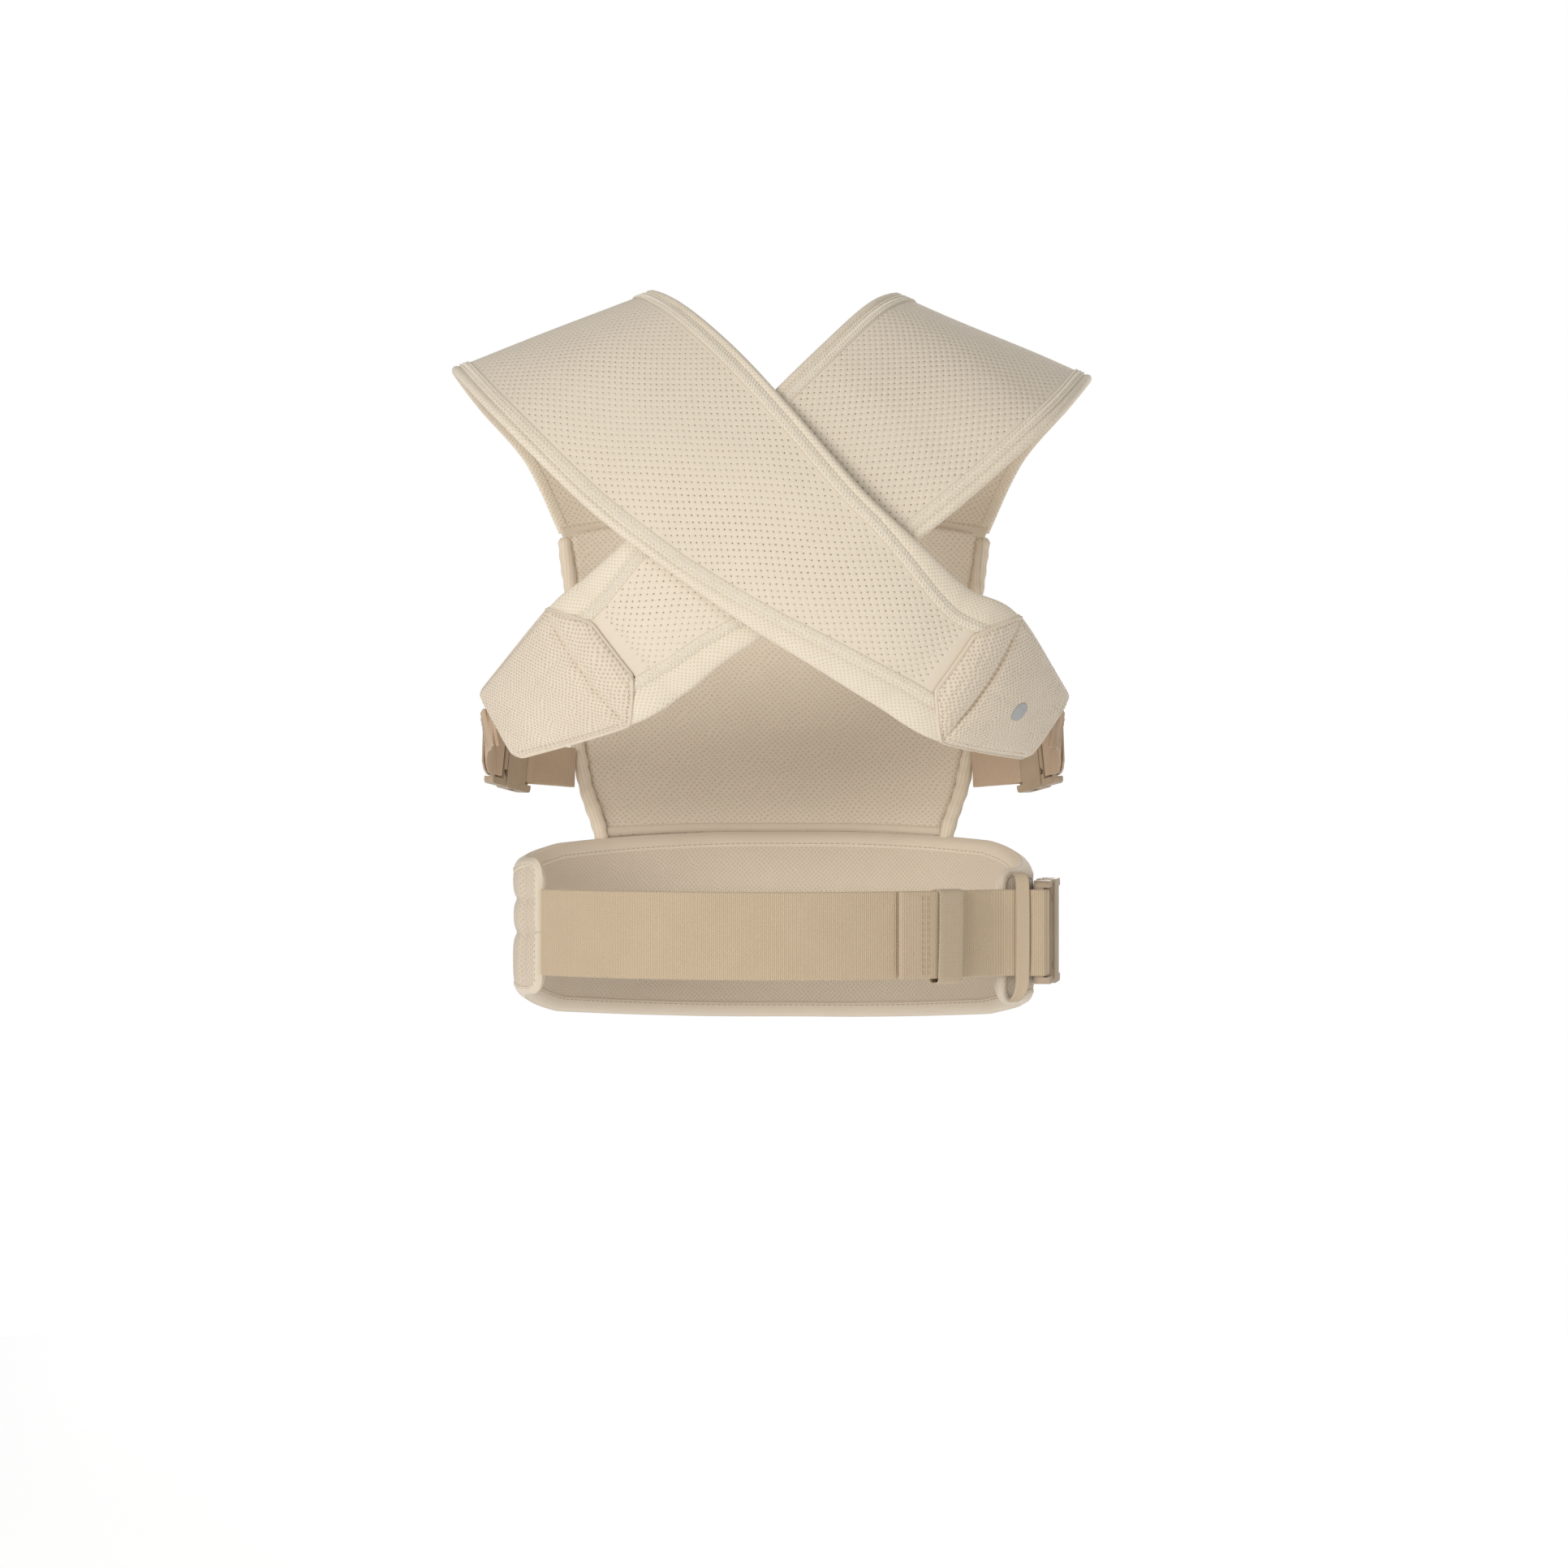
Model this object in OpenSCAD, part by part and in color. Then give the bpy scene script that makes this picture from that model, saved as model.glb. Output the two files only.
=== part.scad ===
// Soft carrier harness with a padded lumbar waist belt, held in the shape it has when worn.
// +Z is up, the wearer faces +Y, and the origin is the centre of the waist loop at mid belt.

/* [Waist] */
// Half the width of the waist loop
waist_a = 141; // [130:1:150]
// Half the depth of the waist loop
waist_b = 98; // [94:1:104]
// Radius of the loop at the wearer's sides
side_r = 62; // [56:1:68]
// Thickness of the padded belt
belt_t = 12; // [11:0.5:14]
// Height of the padded belt at the front
belt_front_h = 112; // [100:2:124]
// Height of the padded belt near its ends
belt_end_h = 78; // [74:2:84]

/* [Webbing] */
// Width of the waist webbing
webbing_w = 50; // [48:1:50]
// Thickness of all webbing
webbing_t = 1.6; // [1.2:0.1:1.8]
// Width of the side webbing
side_webbing_w = 25; // [23:1:25]
// Width of the elastic keeper loop
keeper_w = 18; // [14:1:20]

/* [Straps] */
// Thickness of the shoulder strap lining and padding
lining_t = 2.2; // [1.5:0.1:2.5]
// Thickness of the perforated face fabric
face_t = 1.2; // [0.8:0.1:1.4]
// Width of the strap border over the shoulder
border_min = 7; // [6:1:9]
// Width of the strap border at the end pad
border_max = 23; // [18:1:24]
// Rise of the strap across its width, over the back
strap_crown = 6; // [4:0.5:7]

/* [Buckles] */
// Thickness of the waist buckle
buckle_t = 11; // [10:0.5:12]

/* [Front] */
// Height of the front panel's top edge above the waist loop's centre
panel_top = 256; // [250:1:258]
// Height of the fold-over neck support
flap_h = 62; // [50:1:70]
// Width of the fold-over neck support
flap_w = 88; // [80:1:90]

/* [Hidden] */

fabric = "#e0d2bc";
padding = "#efe9de";
webbing = "#c4b095";
plastic = "#ac9982";
grey = "#b4b2ac";

gap = 0.2;        // clearance between pieces that lie face to face
clear = 0.35;     // clearance between pieces on different bodies
eps = 0.01;

// The waist loop is an oval of four arcs. phi is the heading of its outward normal,
// from 0 at the wearer's back through 90 at the right side to 180 at the front.
side_x = waist_a - side_r;
back_r = (side_x * side_x + waist_b * waist_b - side_r * side_r) / (2 * (waist_b - side_r));
back_y = back_r - waist_b;
join_deg = atan2(side_x, back_y);

function lerp(a, b, t) = a + (b - a) * t;
function clamp(x) = min(1, max(0, x));
function ease(x) = clamp(x) * clamp(x) * (3 - 2 * clamp(x));
function unit(v) = v / norm(v);
function range(a, b, n) = [for (i = [0:n]) lerp(a, b, i / n)];
function outward(phi) = [sin(phi), -cos(phi)];
function oval(phi, off) =
    let (turn = phi > 180 ? phi - 360 : phi, size = abs(turn))
    size <= join_deg ? [0, back_y] + (back_r + off) * outward(turn)
    : size < 180 - join_deg ? [sign(turn) * side_x, 0] + (side_r + off) * outward(turn)
    : [0, -back_y] + (back_r + off) * outward(turn);

// Smooth curve through the points p, at u from 0 to len(p) - 1.
function curve(p, u) =
    let (n = len(p), i = max(0, min(floor(u), n - 2)), t = u - i,
         a = p[max(i - 1, 0)], b = p[i], c = p[i + 1], d = p[min(i + 2, n - 1)])
    0.5 * ((2 * b) + (c - a) * t + (2 * a - 5 * b + 4 * c - d) * t * t
        + (3 * b - a - 3 * c + d) * t * t * t);

// A thick sheet between two grids of points, outer[i][j] and inner[i][j].
// closed joins the last row to the first.
module slab(outer, inner, closed = false) {
    rows = len(outer);
    cols = len(outer[0]);
    size = rows * cols;
    mid = floor(rows / 2) - 1;
    side = cross(outer[mid + 1][0] - outer[mid][0], outer[mid][1] - outer[mid][0])
        * (outer[mid][0] - inner[mid][0]);
    last = closed ? rows - 1 : rows - 2;
    function o(i, j) = (i % rows) * cols + j;
    function n(i, j) = size + o(i, j);
    function quad(a, b, c, d) = side > 0 ? [[c, b, a], [d, c, a]] : [[a, b, c], [a, c, d]];
    faces = [
        for (i = [0:last], j = [0:cols - 2]) each concat(
            quad(o(i, j), o(i + 1, j), o(i + 1, j + 1), o(i, j + 1)),
            quad(n(i, j + 1), n(i + 1, j + 1), n(i + 1, j), n(i, j))),
        for (i = [0:last]) each concat(
            quad(n(i, 0), n(i + 1, 0), o(i + 1, 0), o(i, 0)),
            quad(o(i, cols - 1), o(i + 1, cols - 1), n(i + 1, cols - 1), n(i, cols - 1))),
        if (!closed) for (j = [0:cols - 2]) each concat(
            quad(o(0, j), o(0, j + 1), n(0, j + 1), n(0, j)),
            quad(n(rows - 1, j), n(rows - 1, j + 1), o(rows - 1, j + 1), o(rows - 1, j)))
    ];
    polyhedron([for (r = outer) each r, for (r = inner) each r], faces);
}

// ---------------------------------------------------------------- waist belt

belt_end = 52;          // heading of the padded belt's end, at either side of the back
belt_rows = 48;
belt_out = belt_t + 0.5;
rim_h = 3;

// How far along the belt from its nearer end, in degrees.
function from_end(phi) = min(phi - belt_end, 360 - belt_end - phi);
function belt_half(phi) =
    let (q = from_end(phi), corner = sqrt(clamp(1 - pow(1 - clamp(q / 8), 2))))
    lerp(belt_end_h / 2 - 10, lerp(belt_end_h, belt_front_h, ease((q - 8) / 110)) / 2, corner);
function belt_top_off(phi) = lerp(5.6, belt_out, ease(from_end(phi) / 12));
function belt_phis(a, b, n) =
    [for (i = [0:n]) let (t = i / n) a + (b - a) * (t - 0.11 * sin(360 * t) / 2)];

// A layer of the belt between two offsets, given as shares of its thickness.
module belt_layer(a, b, n, low, high, inset) {
    phis = belt_phis(a, b, n);
    function row(phi, off) =
        let (h = belt_half(phi) - inset, top = belt_top_off(phi))
        [for (k = [0:4]) let (p = oval(phi, off(top))) [p.x, p.y, lerp(-h, h, k / 4)]];
    slab([for (p = phis) row(p, high)], [for (p = phis) row(p, low)]);
}

module waist_cover() {
    color(fabric)
        belt_layer(belt_end, 360 - belt_end, belt_rows,
            function (top) top - 1.4, function (top) top, rim_h + gap);
}

module waist_foam() {
    color(padding)
        belt_layer(belt_end + 13, 347 - belt_end, belt_rows - 8,
            function (top) 2.6, function (top) top - 2, rim_h + 2);
}

module waist_lining() {
    color(fabric)
        belt_layer(belt_end, 360 - belt_end, belt_rows,
            function (top) 0.5, function (top) 2, rim_h + gap);
}

module belt_rim(dir) {
    phis = belt_phis(belt_end, 360 - belt_end, belt_rows);
    function row(phi, low) =
        let (h = belt_half(phi), top = belt_top_off(phi))
        [for (k = [0:2]) let (
            bulge = k == 1 ? 0.4 : 0,
            p = oval(phi, low ? 0.5 - bulge + 0.4 : top + bulge - 0.4))
            [p.x, p.y, dir * (h - rim_h + k * rim_h / 2)]];
    color(fabric) slab([for (p = phis) row(p, false)], [for (p = phis) row(p, true)]);
}

// ------------------------------------------------------------ waist webbing

buckle_phi = 82;                    // heading at the middle of the waist buckle
buckle_mid = 31;                    // middle of the buckle along its length
buckle_off = belt_out + 2.2;        // offset of the buckle's inner face from the loop
tail_end = 25;                      // heading where the webbing's free tail ends
tail_off = 5.4;
run_off = 3;
keeper_phi = 36.5;

// Place and directions of the waist buckle: along it, up, and outward.
buckle_c = oval(buckle_phi, buckle_off);
buckle_n = outward(buckle_phi);
buckle_d = [-buckle_n.y, buckle_n.x];
function at_buckle(x, z) = buckle_c + (x - buckle_mid) * buckle_d + z * buckle_n;

// The plan line of the webbing: out of the left belt end, round the back, under the
// frame's rear bar, round its middle bar, over the rear bar, and back along itself.
bar_x = 9.5;
bar_r = 3.8;
web_line = concat(
    [for (phi = range(-belt_end - 7, 44, 26)) oval(phi, run_off)],
    [oval(48, 4.6), oval(52, 8.4), oval(55.5, 12.6), at_buckle(-3.5, -1), at_buckle(0, -0.8),
     at_buckle(7, -0.6)],
    [for (k = range(-80, 80, 6))
        at_buckle(bar_x + bar_r * cos(k), 4.1 + bar_r * sin(k))],
    [at_buckle(6, 7.7), at_buckle(1, 7.5), at_buckle(-3.6, 6.5), at_buckle(-5.4, 0),
     oval(54.5, 14.6), oval(52, 11), oval(49, 8.4), oval(46.5, 6.4), oval(44, tail_off + 0.2)],
    [for (phi = range(41, tail_end, 8)) oval(phi, tail_off)]
);

// A ribbon standing on edge along a plan line, w high and t thick.
module standing_ribbon(line, w, t) {
    n = len(line);
    function side(i) =
        let (d = line[min(i + 1, n - 1)] - line[max(i - 1, 0)]) unit([d.y, -d.x]);
    function row(i, s) = [for (h = [-w / 2, w / 2])
        let (p = line[i] + side(i) * s * t / 2) [p.x, p.y, h]];
    slab([for (i = [0:n - 1]) row(i, 1)], [for (i = [0:n - 1]) row(i, -1)]);
}

module waist_webbing() {
    hem = [for (phi = range(tail_end, tail_end + 6.2, 5)) oval(phi, tail_off + webbing_t)];
    color(webbing) union() {
        standing_ribbon(web_line, webbing_w, webbing_t);
        standing_ribbon(hem, webbing_w, webbing_t + 0.1);
    }
}

// Elastic loop that holds the tail against the run.
keeper_in = 1.2;
keeper_out = 8.4;
module webbing_keeper() {
    half = keeper_w / 2 / back_r * 180 / PI;
    h = webbing_w / 2 + 1;
    t = 1.2;
    path = [[keeper_in, -h], [keeper_in, h], [keeper_out - 1, h], [keeper_out, h - 1.5],
        [keeper_out, -h + 1.5], [keeper_out - 1, -h]];
    grown = [[keeper_in - t + 0.5, -h - t], [keeper_in - t + 0.5, h + t],
        [keeper_out, h + t], [keeper_out + t, h - 1], [keeper_out + t, -h + 1],
        [keeper_out, -h - t]];
    function row(q) = [for (phi = range(keeper_phi - half, keeper_phi + half, 4))
        let (p = oval(phi, q.x)) [p.x, p.y, q.y]];
    color(webbing) slab([for (q = grown) row(q)], [for (q = path) row(q)], closed = true);
}

// Elastic band over the belt's right end, which the webbing passes under. It leaves the
// belt at low, crosses the webbing at high, and each row of its profile is a share of the
// belt's half height and of the way from low to high.
loop_low = [[52, 5.9], [54, 6.5], [56.5, 8.2], [60, 11.1]];
loop_high = [[134, -47.5], [138, -46.5], [143, -46.3], [148, -47.8]];
loop_profile = [[-0.98, 0], [-0.93, 0.08], [-0.86, 0.5], [-0.79, 0.92], [-0.72, 1], [0, 1],
    [0.72, 1], [0.79, 0.92], [0.86, 0.5], [0.93, 0.08], [0.98, 0]];
module safety_loop() {
    function point(q, i, t) =
        let (low = oval(loop_low[i][0], loop_low[i][1]), out = outward(loop_low[i][0] - 20),
             p = lerp(low, loop_high[i], q[1]) + t * out)
        [p.x, p.y, q[0] * belt_half(56)];
    function row(q, t) = [for (i = [0:3]) point(q, i, t)];
    color(webbing) slab([for (q = loop_profile) row(q, 1.3)],
        [for (q = loop_profile) row(q, 0)]);
}

// ------------------------------------------------------------------ buckles

// All buckle modules are drawn flat: X along the pull, Y across, Z out of the belt.
// w is the webbing width, t the buckle's thickness and k its scale of length.
module rounded_plate(x0, x1, half, z0, z1, r) {
    translate([0, 0, z0]) linear_extrude(z1 - z0)
        translate([x0, -half]) hull() {
            for (x = [r, x1 - x0 - r], y = [r, 2 * half - r])
                translate([x, y]) circle(r, $fn = 32);
        }
}

module box(x0, x1, y0, y1, z0, z1) {
    translate([x0, y0, z0]) cube([x1 - x0, y1 - y0, z1 - z0]);
}

// Frame with two slots for the webbing, and a tongue that guides it into the housing.
module buckle_frame(w, t, k) {
    half = w / 2 + 5;
    bar = t - 5;
    difference() {
        union() {
            rounded_plate(-2 * k, 21 * k, half, 0.4, t - 1.4, 3.5 * k);
            rounded_plate(17 * k, 42 * k, 0.14 * w, t / 2 - 1.3, t / 2 + 1.3, 1.5 * k);
        }
        box(2 * k, 7 * k, -w / 2 - 1, w / 2 + 1, -1, t + 1);
        box(11.5 * k, 16 * k, -w / 2 - 1, w / 2 + 1, -1, t + 1);
        box(-3 * k, 16 * k, -w / 2 - 1, w / 2 + 1, bar, t + 1);
        box(6 * k, 16 * k, -w / 2 - 1, w / 2 + 1, -1, 0.2 * t);
        for (s = [-1, 1])
            translate([arm_root(k).x, s * arm_root(k, w).y, -1])
                cylinder(r = 2.2 * k + clear / 2, h = t + 2, $fn = 40);
        for (s = [-1, 1])
            translate([0, s * arm_root(k, w).y, 0])
                box(arm_root(k).x, 22 * k, -2.4 * k, 2.4 * k + 1.2, -1, t + 1);
    }
}

function arm_root(k, w = 50) = [18.6 * k, w / 2 - 5.5 * k];

// Side arm: a round root, a thin leg, and a head that latches in the housing's window.
module buckle_arm(w, t, k, s) {
    root = arm_root(k, w);
    lo = 0.28 * t;
    hi = 0.72 * t;
    wall = w / 2 + 5;
    mirror([0, s > 0 ? 0 : 1, 0]) translate([0, 0, lo]) linear_extrude(hi - lo) union() {
        translate(root) circle(2.2 * k - clear / 2, $fn = 40);
        polygon([[root.x, root.y - 1.5 * k], [root.x + 17 * k, root.y + 0.6 * k],
            [46.5 * k, root.y + 1.4 * k], [46.5 * k, wall - 3.6], [44 * k, wall - 1.2],
            [35 * k, wall + 0.4], [33.6 * k, wall - 0.4], [33.6 * k, root.y + 3.8 * k],
            [root.x + 8 * k, root.y + 2.2 * k], [root.x, root.y + 1.5 * k]]);
    }
}

// Housing: a hollow box, open towards the frame, with a window at each side for the arms.
module buckle_housing(w, t, k) {
    half = w / 2 + 5.5;
    mouth = 21 * k + clear;
    difference() {
        rounded_plate(mouth, 63 * k, half, 0, t, 4 * k);
        box(mouth - 1, 50 * k, -half + 2.8, half - 2.8, 1.8, t - 1.8);
        for (s = [-1, 1])
            translate([0, s * half, 0]) box(33 * k, 47.5 * k, -4, 4, 1.8, t - 1.8);
        box(53 * k, 58.5 * k, -w / 2 - 1, w / 2 + 1, -1, t + 1);
        box(52.9 * k, 64 * k, -w / 2 - 1, w / 2 + 1, t - 3, t + 1);
        box(52.9 * k, 64 * k, -w / 2 - 1, w / 2 + 1, -1, 2.4);
    }
}

// Puts a flat-drawn buckle at c, running along d, with n outward.
module placed(c, d, up, n, mid) {
    multmatrix([[d.x, up.x, n.x, c.x], [d.y, up.y, n.y, c.y], [d.z, up.z, n.z, c.z],
        [0, 0, 0, 1]]) translate([-mid, 0, 0]) children();
}

module at_waist_buckle() {
    placed([buckle_c.x, buckle_c.y, 0], [buckle_d.x, buckle_d.y, 0], [0, 0, 1],
        [buckle_n.x, buckle_n.y, 0], buckle_mid) children();
}

// Short doubled webbing that ties the housing's rear bar to the belt.
module buckle_anchor_webbing() {
    line = concat(
        [oval(132, belt_out + 1.1), oval(126, belt_out + 1.2), oval(119, belt_out + 1.6)],
        [at_buckle(61, 0.9), at_buckle(56.4, 1.2)],
        [for (k = range(-80, 80, 4)) at_buckle(56.6 - 1.2 * cos(k), 5.2 + 3.8 * sin(k))],
        [at_buckle(57.4, 9.4), at_buckle(62.2, 9.4), at_buckle(65.2, 8.4), oval(118, belt_out + 6.4),
         oval(124, belt_out + 3.4), oval(132, belt_out + 2.9)]);
    color(webbing) standing_ribbon(line, webbing_w - 1, webbing_t);
}

module waist_buckle_frame() {
    color(plastic) at_waist_buckle() buckle_frame(webbing_w, buckle_t, 1);
}

module waist_buckle_arm(s) {
    color(plastic) at_waist_buckle() buckle_arm(webbing_w, buckle_t, 1, s);
}

module waist_buckle_housing() {
    color(plastic) at_waist_buckle() buckle_housing(webbing_w, buckle_t, 1);
}

// ----------------------------------------------------------- shoulder straps

// Each strap is drawn between its neck edge and its arm edge. Both run from the front
// panel, over the shoulder at point 3 and across the back, to the end pad, whose widest
// line is at point 10 and whose end is at point 11.
left_neck = [[-48, 120, 254], [-55, 117, 300], [-66, 80, 350], [-74, 6, 377],
    [-55, -46, 365], [-22, -85, 334], [10, -108, 298], [49, -122, 252], [81, -117, 222],
    [109, -103, 197], [138, -80, 183], [171, -3, 138]];
left_arm = [[-132, 106, 240], [-152, 99, 282], [-178, 66, 312], [-190, 2, 330],
    [-159, -73, 295], [-106, -108, 242], [-60, -120, 206], [-17, -123, 176],
    [22, -119, 152], [56, -110, 131], [91, -95, 111], [148, -37, 100]];
right_neck = [[48, 120, 254], [55, 117, 300], [66, 80, 350], [75, 6, 375],
    [57, -46, 365], [26, -82, 334], [-9, -101, 298], [-47, -111, 257], [-83, -108, 223],
    [-106, -98, 203], [-126, -84, 187], [-171, -13, 138]];
right_arm = [[132, 106, 240], [152, 99, 282], [178, 66, 312], [188, 2, 325],
    [161, -73, 293], [113, -104, 248], [65, -113, 210], [22, -115, 184],
    [-22, -111, 158], [-49, -104, 137], [-78, -97, 120], [-147, -44, 100]];
strap_end = 10;
pad_start = 9.53;
pad_end = 11;

function neck_line(side) = side < 0 ? left_neck : right_neck;
function arm_line(side) = side < 0 ? left_arm : right_arm;

// Rise of the strap's middle above its edges, which is flat over the shoulder.
function crown(u) = strap_crown * (1 - 0.85 * exp(-pow((u - 3) / 1.1, 2)))
    * (1 - 0.5 * ease(u - 10));

// A point on a strap: u along it, v from -1 at the neck edge to 1 at the arm edge, and
// h out from the wearer.
function on_strap(side, u, v, h) =
    let (a = curve(neck_line(side), u), b = curve(arm_line(side), u),
         mid = (a + b) / 2, w = unit(b - a), half = norm(b - a) / 2, e = 0.02,
         u0 = max(u - e, 0), u1 = min(u + e, pad_end),
         along = curve(neck_line(side), u1) + curve(arm_line(side), u1)
             - curve(neck_line(side), u0) - curve(arm_line(side), u0),
         n = unit(side < 0 ? cross(w, along) : cross(along, w)))
    mid + w * v * half + n * (h + crown(u) * (1 - v * v));
function strap_half(side, u) = norm(curve(arm_line(side), u) - curve(neck_line(side), u)) / 2;
function border_w(u, start) = lerp(border_min, border_max, ease((u - start) / (10 - start)));
function neck_v(side, u) = -1 + border_w(u, 6) / strap_half(side, u);
function arm_v(side, u) = 1 - border_w(u, 4) / strap_half(side, u);

strap_us = concat(range(0, 3, 9), range(3.25, 5, 6), range(5.4, strap_end, 12));

// A sheet of the strap. lo and hi give v at its two edges as functions of u.
module strap_sheet(side, us, lo, hi, h0, h1, cols) {
    function row(u, h) = [for (k = [0:cols])
        on_strap(side, u, lerp(lo(u), hi(u), k / cols), h)];
    slab([for (u = us) row(u, h1)], [for (u = us) row(u, h0)]);
}

// The borders lie on the lining, at each side of the perforated face.
border_h0 = lining_t + 0.45;
border_h1 = border_h0 + face_t + 0.45;

module strap_face(side) {
    color(fabric) strap_sheet(side, strap_us,
        function (u) neck_v(side, u) + 0.004, function (u) arm_v(side, u) - 0.004,
        border_h0, border_h0 + face_t, 6);
}

module strap_lining(side) {
    color(padding) strap_sheet(side, strap_us, function (u) -1, function (u) 1,
        0, lining_t, 6);
}

module strap_neck_border(side) {
    color(fabric) strap_sheet(side, strap_us,
        function (u) -1, function (u) neck_v(side, u), border_h0, border_h1, 2);
}

module strap_arm_border(side) {
    color(fabric) strap_sheet(side, strap_us,
        function (u) arm_v(side, u), function (u) 1, border_h0, border_h1, 2);
}

// ------------------------------------------------------------------ end pads

// Half the pad's width as a share of the strap's, so that its outline is a hexagon.
function pad_share(u) = u < strap_end
    ? lerp(0.44, 1, (u - pad_start) / (strap_end - pad_start))
    : lerp(1, 0.72, ease((u - 10.93) / 0.07));

module pad_sheet(side, us, inset, low, high, cols) {
    function row(u, h) = [for (k = [0:cols])
        let (v = lerp(-1, 1, k / cols) * (pad_share(u) - inset / strap_half(side, u)))
        on_strap(side, u, v, h(u, v))];
    slab([for (u = us) row(u, high)], [for (u = us) row(u, low)]);
}

function pad_top(u, v) = 5.8 + 3.4 * (1 - v * v) * sin(180 * clamp((u - 9.5) / 1.56));
module pad_cover(side) {
    color(fabric) pad_sheet(side, concat(range(pad_start, 10, 3), range(10.1, 10.9, 5),
        [10.95, pad_end]), 0,
        function (u, v) pad_top(u, v) - 1.2, function (u, v) pad_top(u, v), 6);
}

module pad_foam(side) {
    color(padding) pad_sheet(side, range(10.06, 10.78, 6), 4,
        function (u, v) 1.9, function (u, v) pad_top(u, v) - 1.9, 4);
}

module pad_backing(side) {
    color(fabric) pad_sheet(side, range(10.03, 10.84, 6), 0.5,
        function (u, v) 0, function (u, v) 1.3, 4);
}

// Plain sewn patch on the right-hand end pad.
module pad_patch() {
    c = on_strap(-1, 10.72, 0.1, pad_top(10.72, 0.1) + 0.12);
    a = on_strap(-1, 10.78, 0.1, pad_top(10.78, 0.1) + 0.12);
    b = on_strap(-1, 10.72, 0.4, pad_top(10.72, 0.4) + 0.12);
    x = unit(a - c);
    n = unit(cross(unit(b - c), x));
    y = cross(n, x);
    color(grey) multmatrix([[x.x, y.x, n.x, c.x], [x.y, y.y, n.y, c.y], [x.z, y.z, n.z, c.z],
        [0, 0, 0, 1]]) translate([0, 0, 0.35]) cylinder(r = 5, h = 0.5, $fn = 48);
}

// ------------------------------------------------- side webbing and its buckles

side_buckle_k = 0.62;
side_buckle_t = 8;
side_mid = 20;
side_c = [155, 44, 101];
side_d = unit([-0.5, 0.86, -0.15]);
side_n = unit(cross(side_d, [-0.08, 0.1, 0.99]));
side_up = cross(side_n, side_d);

function flip(p, side) = [side * p.x, p.y, p.z];

// A flat ribbon along 3D points, with its width turned towards ups[i] at point i.
module flat_ribbon(line, ups, w, t) {
    n = len(line);
    function across(i) =
        let (d = unit(line[min(i + 1, n - 1)] - line[max(i - 1, 0)]))
        unit(ups[i] - d * (ups[i] * d));
    function thick(i) =
        let (d = unit(line[min(i + 1, n - 1)] - line[max(i - 1, 0)]))
        cross(d, across(i));
    function row(i, s) = [for (h = [-w / 2, w / 2])
        line[i] + across(i) * h + thick(i) * s * t / 2];
    slab([for (i = [0:n - 1]) row(i, 1)], [for (i = [0:n - 1]) row(i, -1)]);
}

// A point in the right side buckle's own flat frame, as a point of the model.
function at_side(x, z) = side_c + (x - side_mid) * side_d + z * side_n;

// The webbing leaves the end pad between its backing and its cover. side is 1 for the
// wearer's right, where the strap of the left shoulder ends, and -1 for its left.
module side_webbing(side) {
    bar = bar_x * side_buckle_k;
    function pad(u, h) = flip(on_strap(-side, u, 0, h), side);
    tip = pad(11, 2.2);
    along = unit(tip - pad(10.95, 2.2));
    across = flip(neck_line(-side)[11] - arm_line(-side)[11], side);
    way = [pad(10.95, 2.2), tip, tip + along * 9, at_side(-9, -1.6), at_side(-1.5, -0.9),
        at_side(4, -0.6)];
    function up(u) = unit(lerp(unit(across), side_up, ease((u - 1) / 2)));
    function out(u) = unit(cross(curve(way, u + 0.1) - curve(way, u - 0.1), up(u)));
    go = [0, 1, 1.5, 2, 2.3, 2.6, 3, 3.5, 4, 5];
    back = [3.3, 3.1, 2.8, 2.5];
    line = concat([for (u = go) curve(way, u)],
        [for (k = range(-80, 80, 4)) at_side(bar + 2.6 * cos(k), 2.9 + 2.8 * sin(k))],
        [at_side(3.5, 5.7), at_side(0, 5.5), at_side(-3.2, 4), at_side(-5, 1.6)],
        [for (u = back) curve(way, u) + out(u) * 1.9]);
    ups = concat([for (u = go) up(u)], [for (k = [0:8]) side_up], [for (u = back) up(u)]);
    color(webbing) flat_ribbon([for (p = line) flip(p, side)],
        [for (u = ups) flip(u, side)], side_webbing_w, 1.4);
}

function side_up_of(side) = flip(side_up, side);

module at_side_buckle(side) {
    placed(flip(side_c, side), flip(side_d, side), side_up_of(side) * side,
        flip(side_n, side), side_mid) children();
}

module side_frame(side) {
    color(plastic) at_side_buckle(side)
        buckle_frame(side_webbing_w, side_buckle_t, side_buckle_k);
}

// s is 1 for the upper arm and -1 for the lower one.
module side_arm(side, s) {
    color(plastic) at_side_buckle(side)
        buckle_arm(side_webbing_w, side_buckle_t, side_buckle_k, s * side);
}

module side_housing(side) {
    color(plastic) at_side_buckle(side)
        buckle_housing(side_webbing_w, side_buckle_t, side_buckle_k);
}

// Webbing tab that holds the side buckle's housing on the front panel.
module panel_tab(side) {
    edge = on_panel(panel_half(96) + 4.6, 96, 0.4);
    line = [edge, edge + [5.6, -7, 0.5], at_side(39.5, 1), at_side(36, 0.9),
        at_side(34.6, 1.4), at_side(33.9, 4), at_side(34.6, 6.6), at_side(36, 7.1),
        at_side(39.5, 6.8), edge + [7, -5.6, 0.5], edge + [1.4, 1.4, 0]];
    color(webbing) flat_ribbon([for (p = line) flip(p, side)],
        [for (p = line) side_up_of(side)], side_webbing_w - 1, 1.4);
}

// --------------------------------------------------------------- front panel

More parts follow.
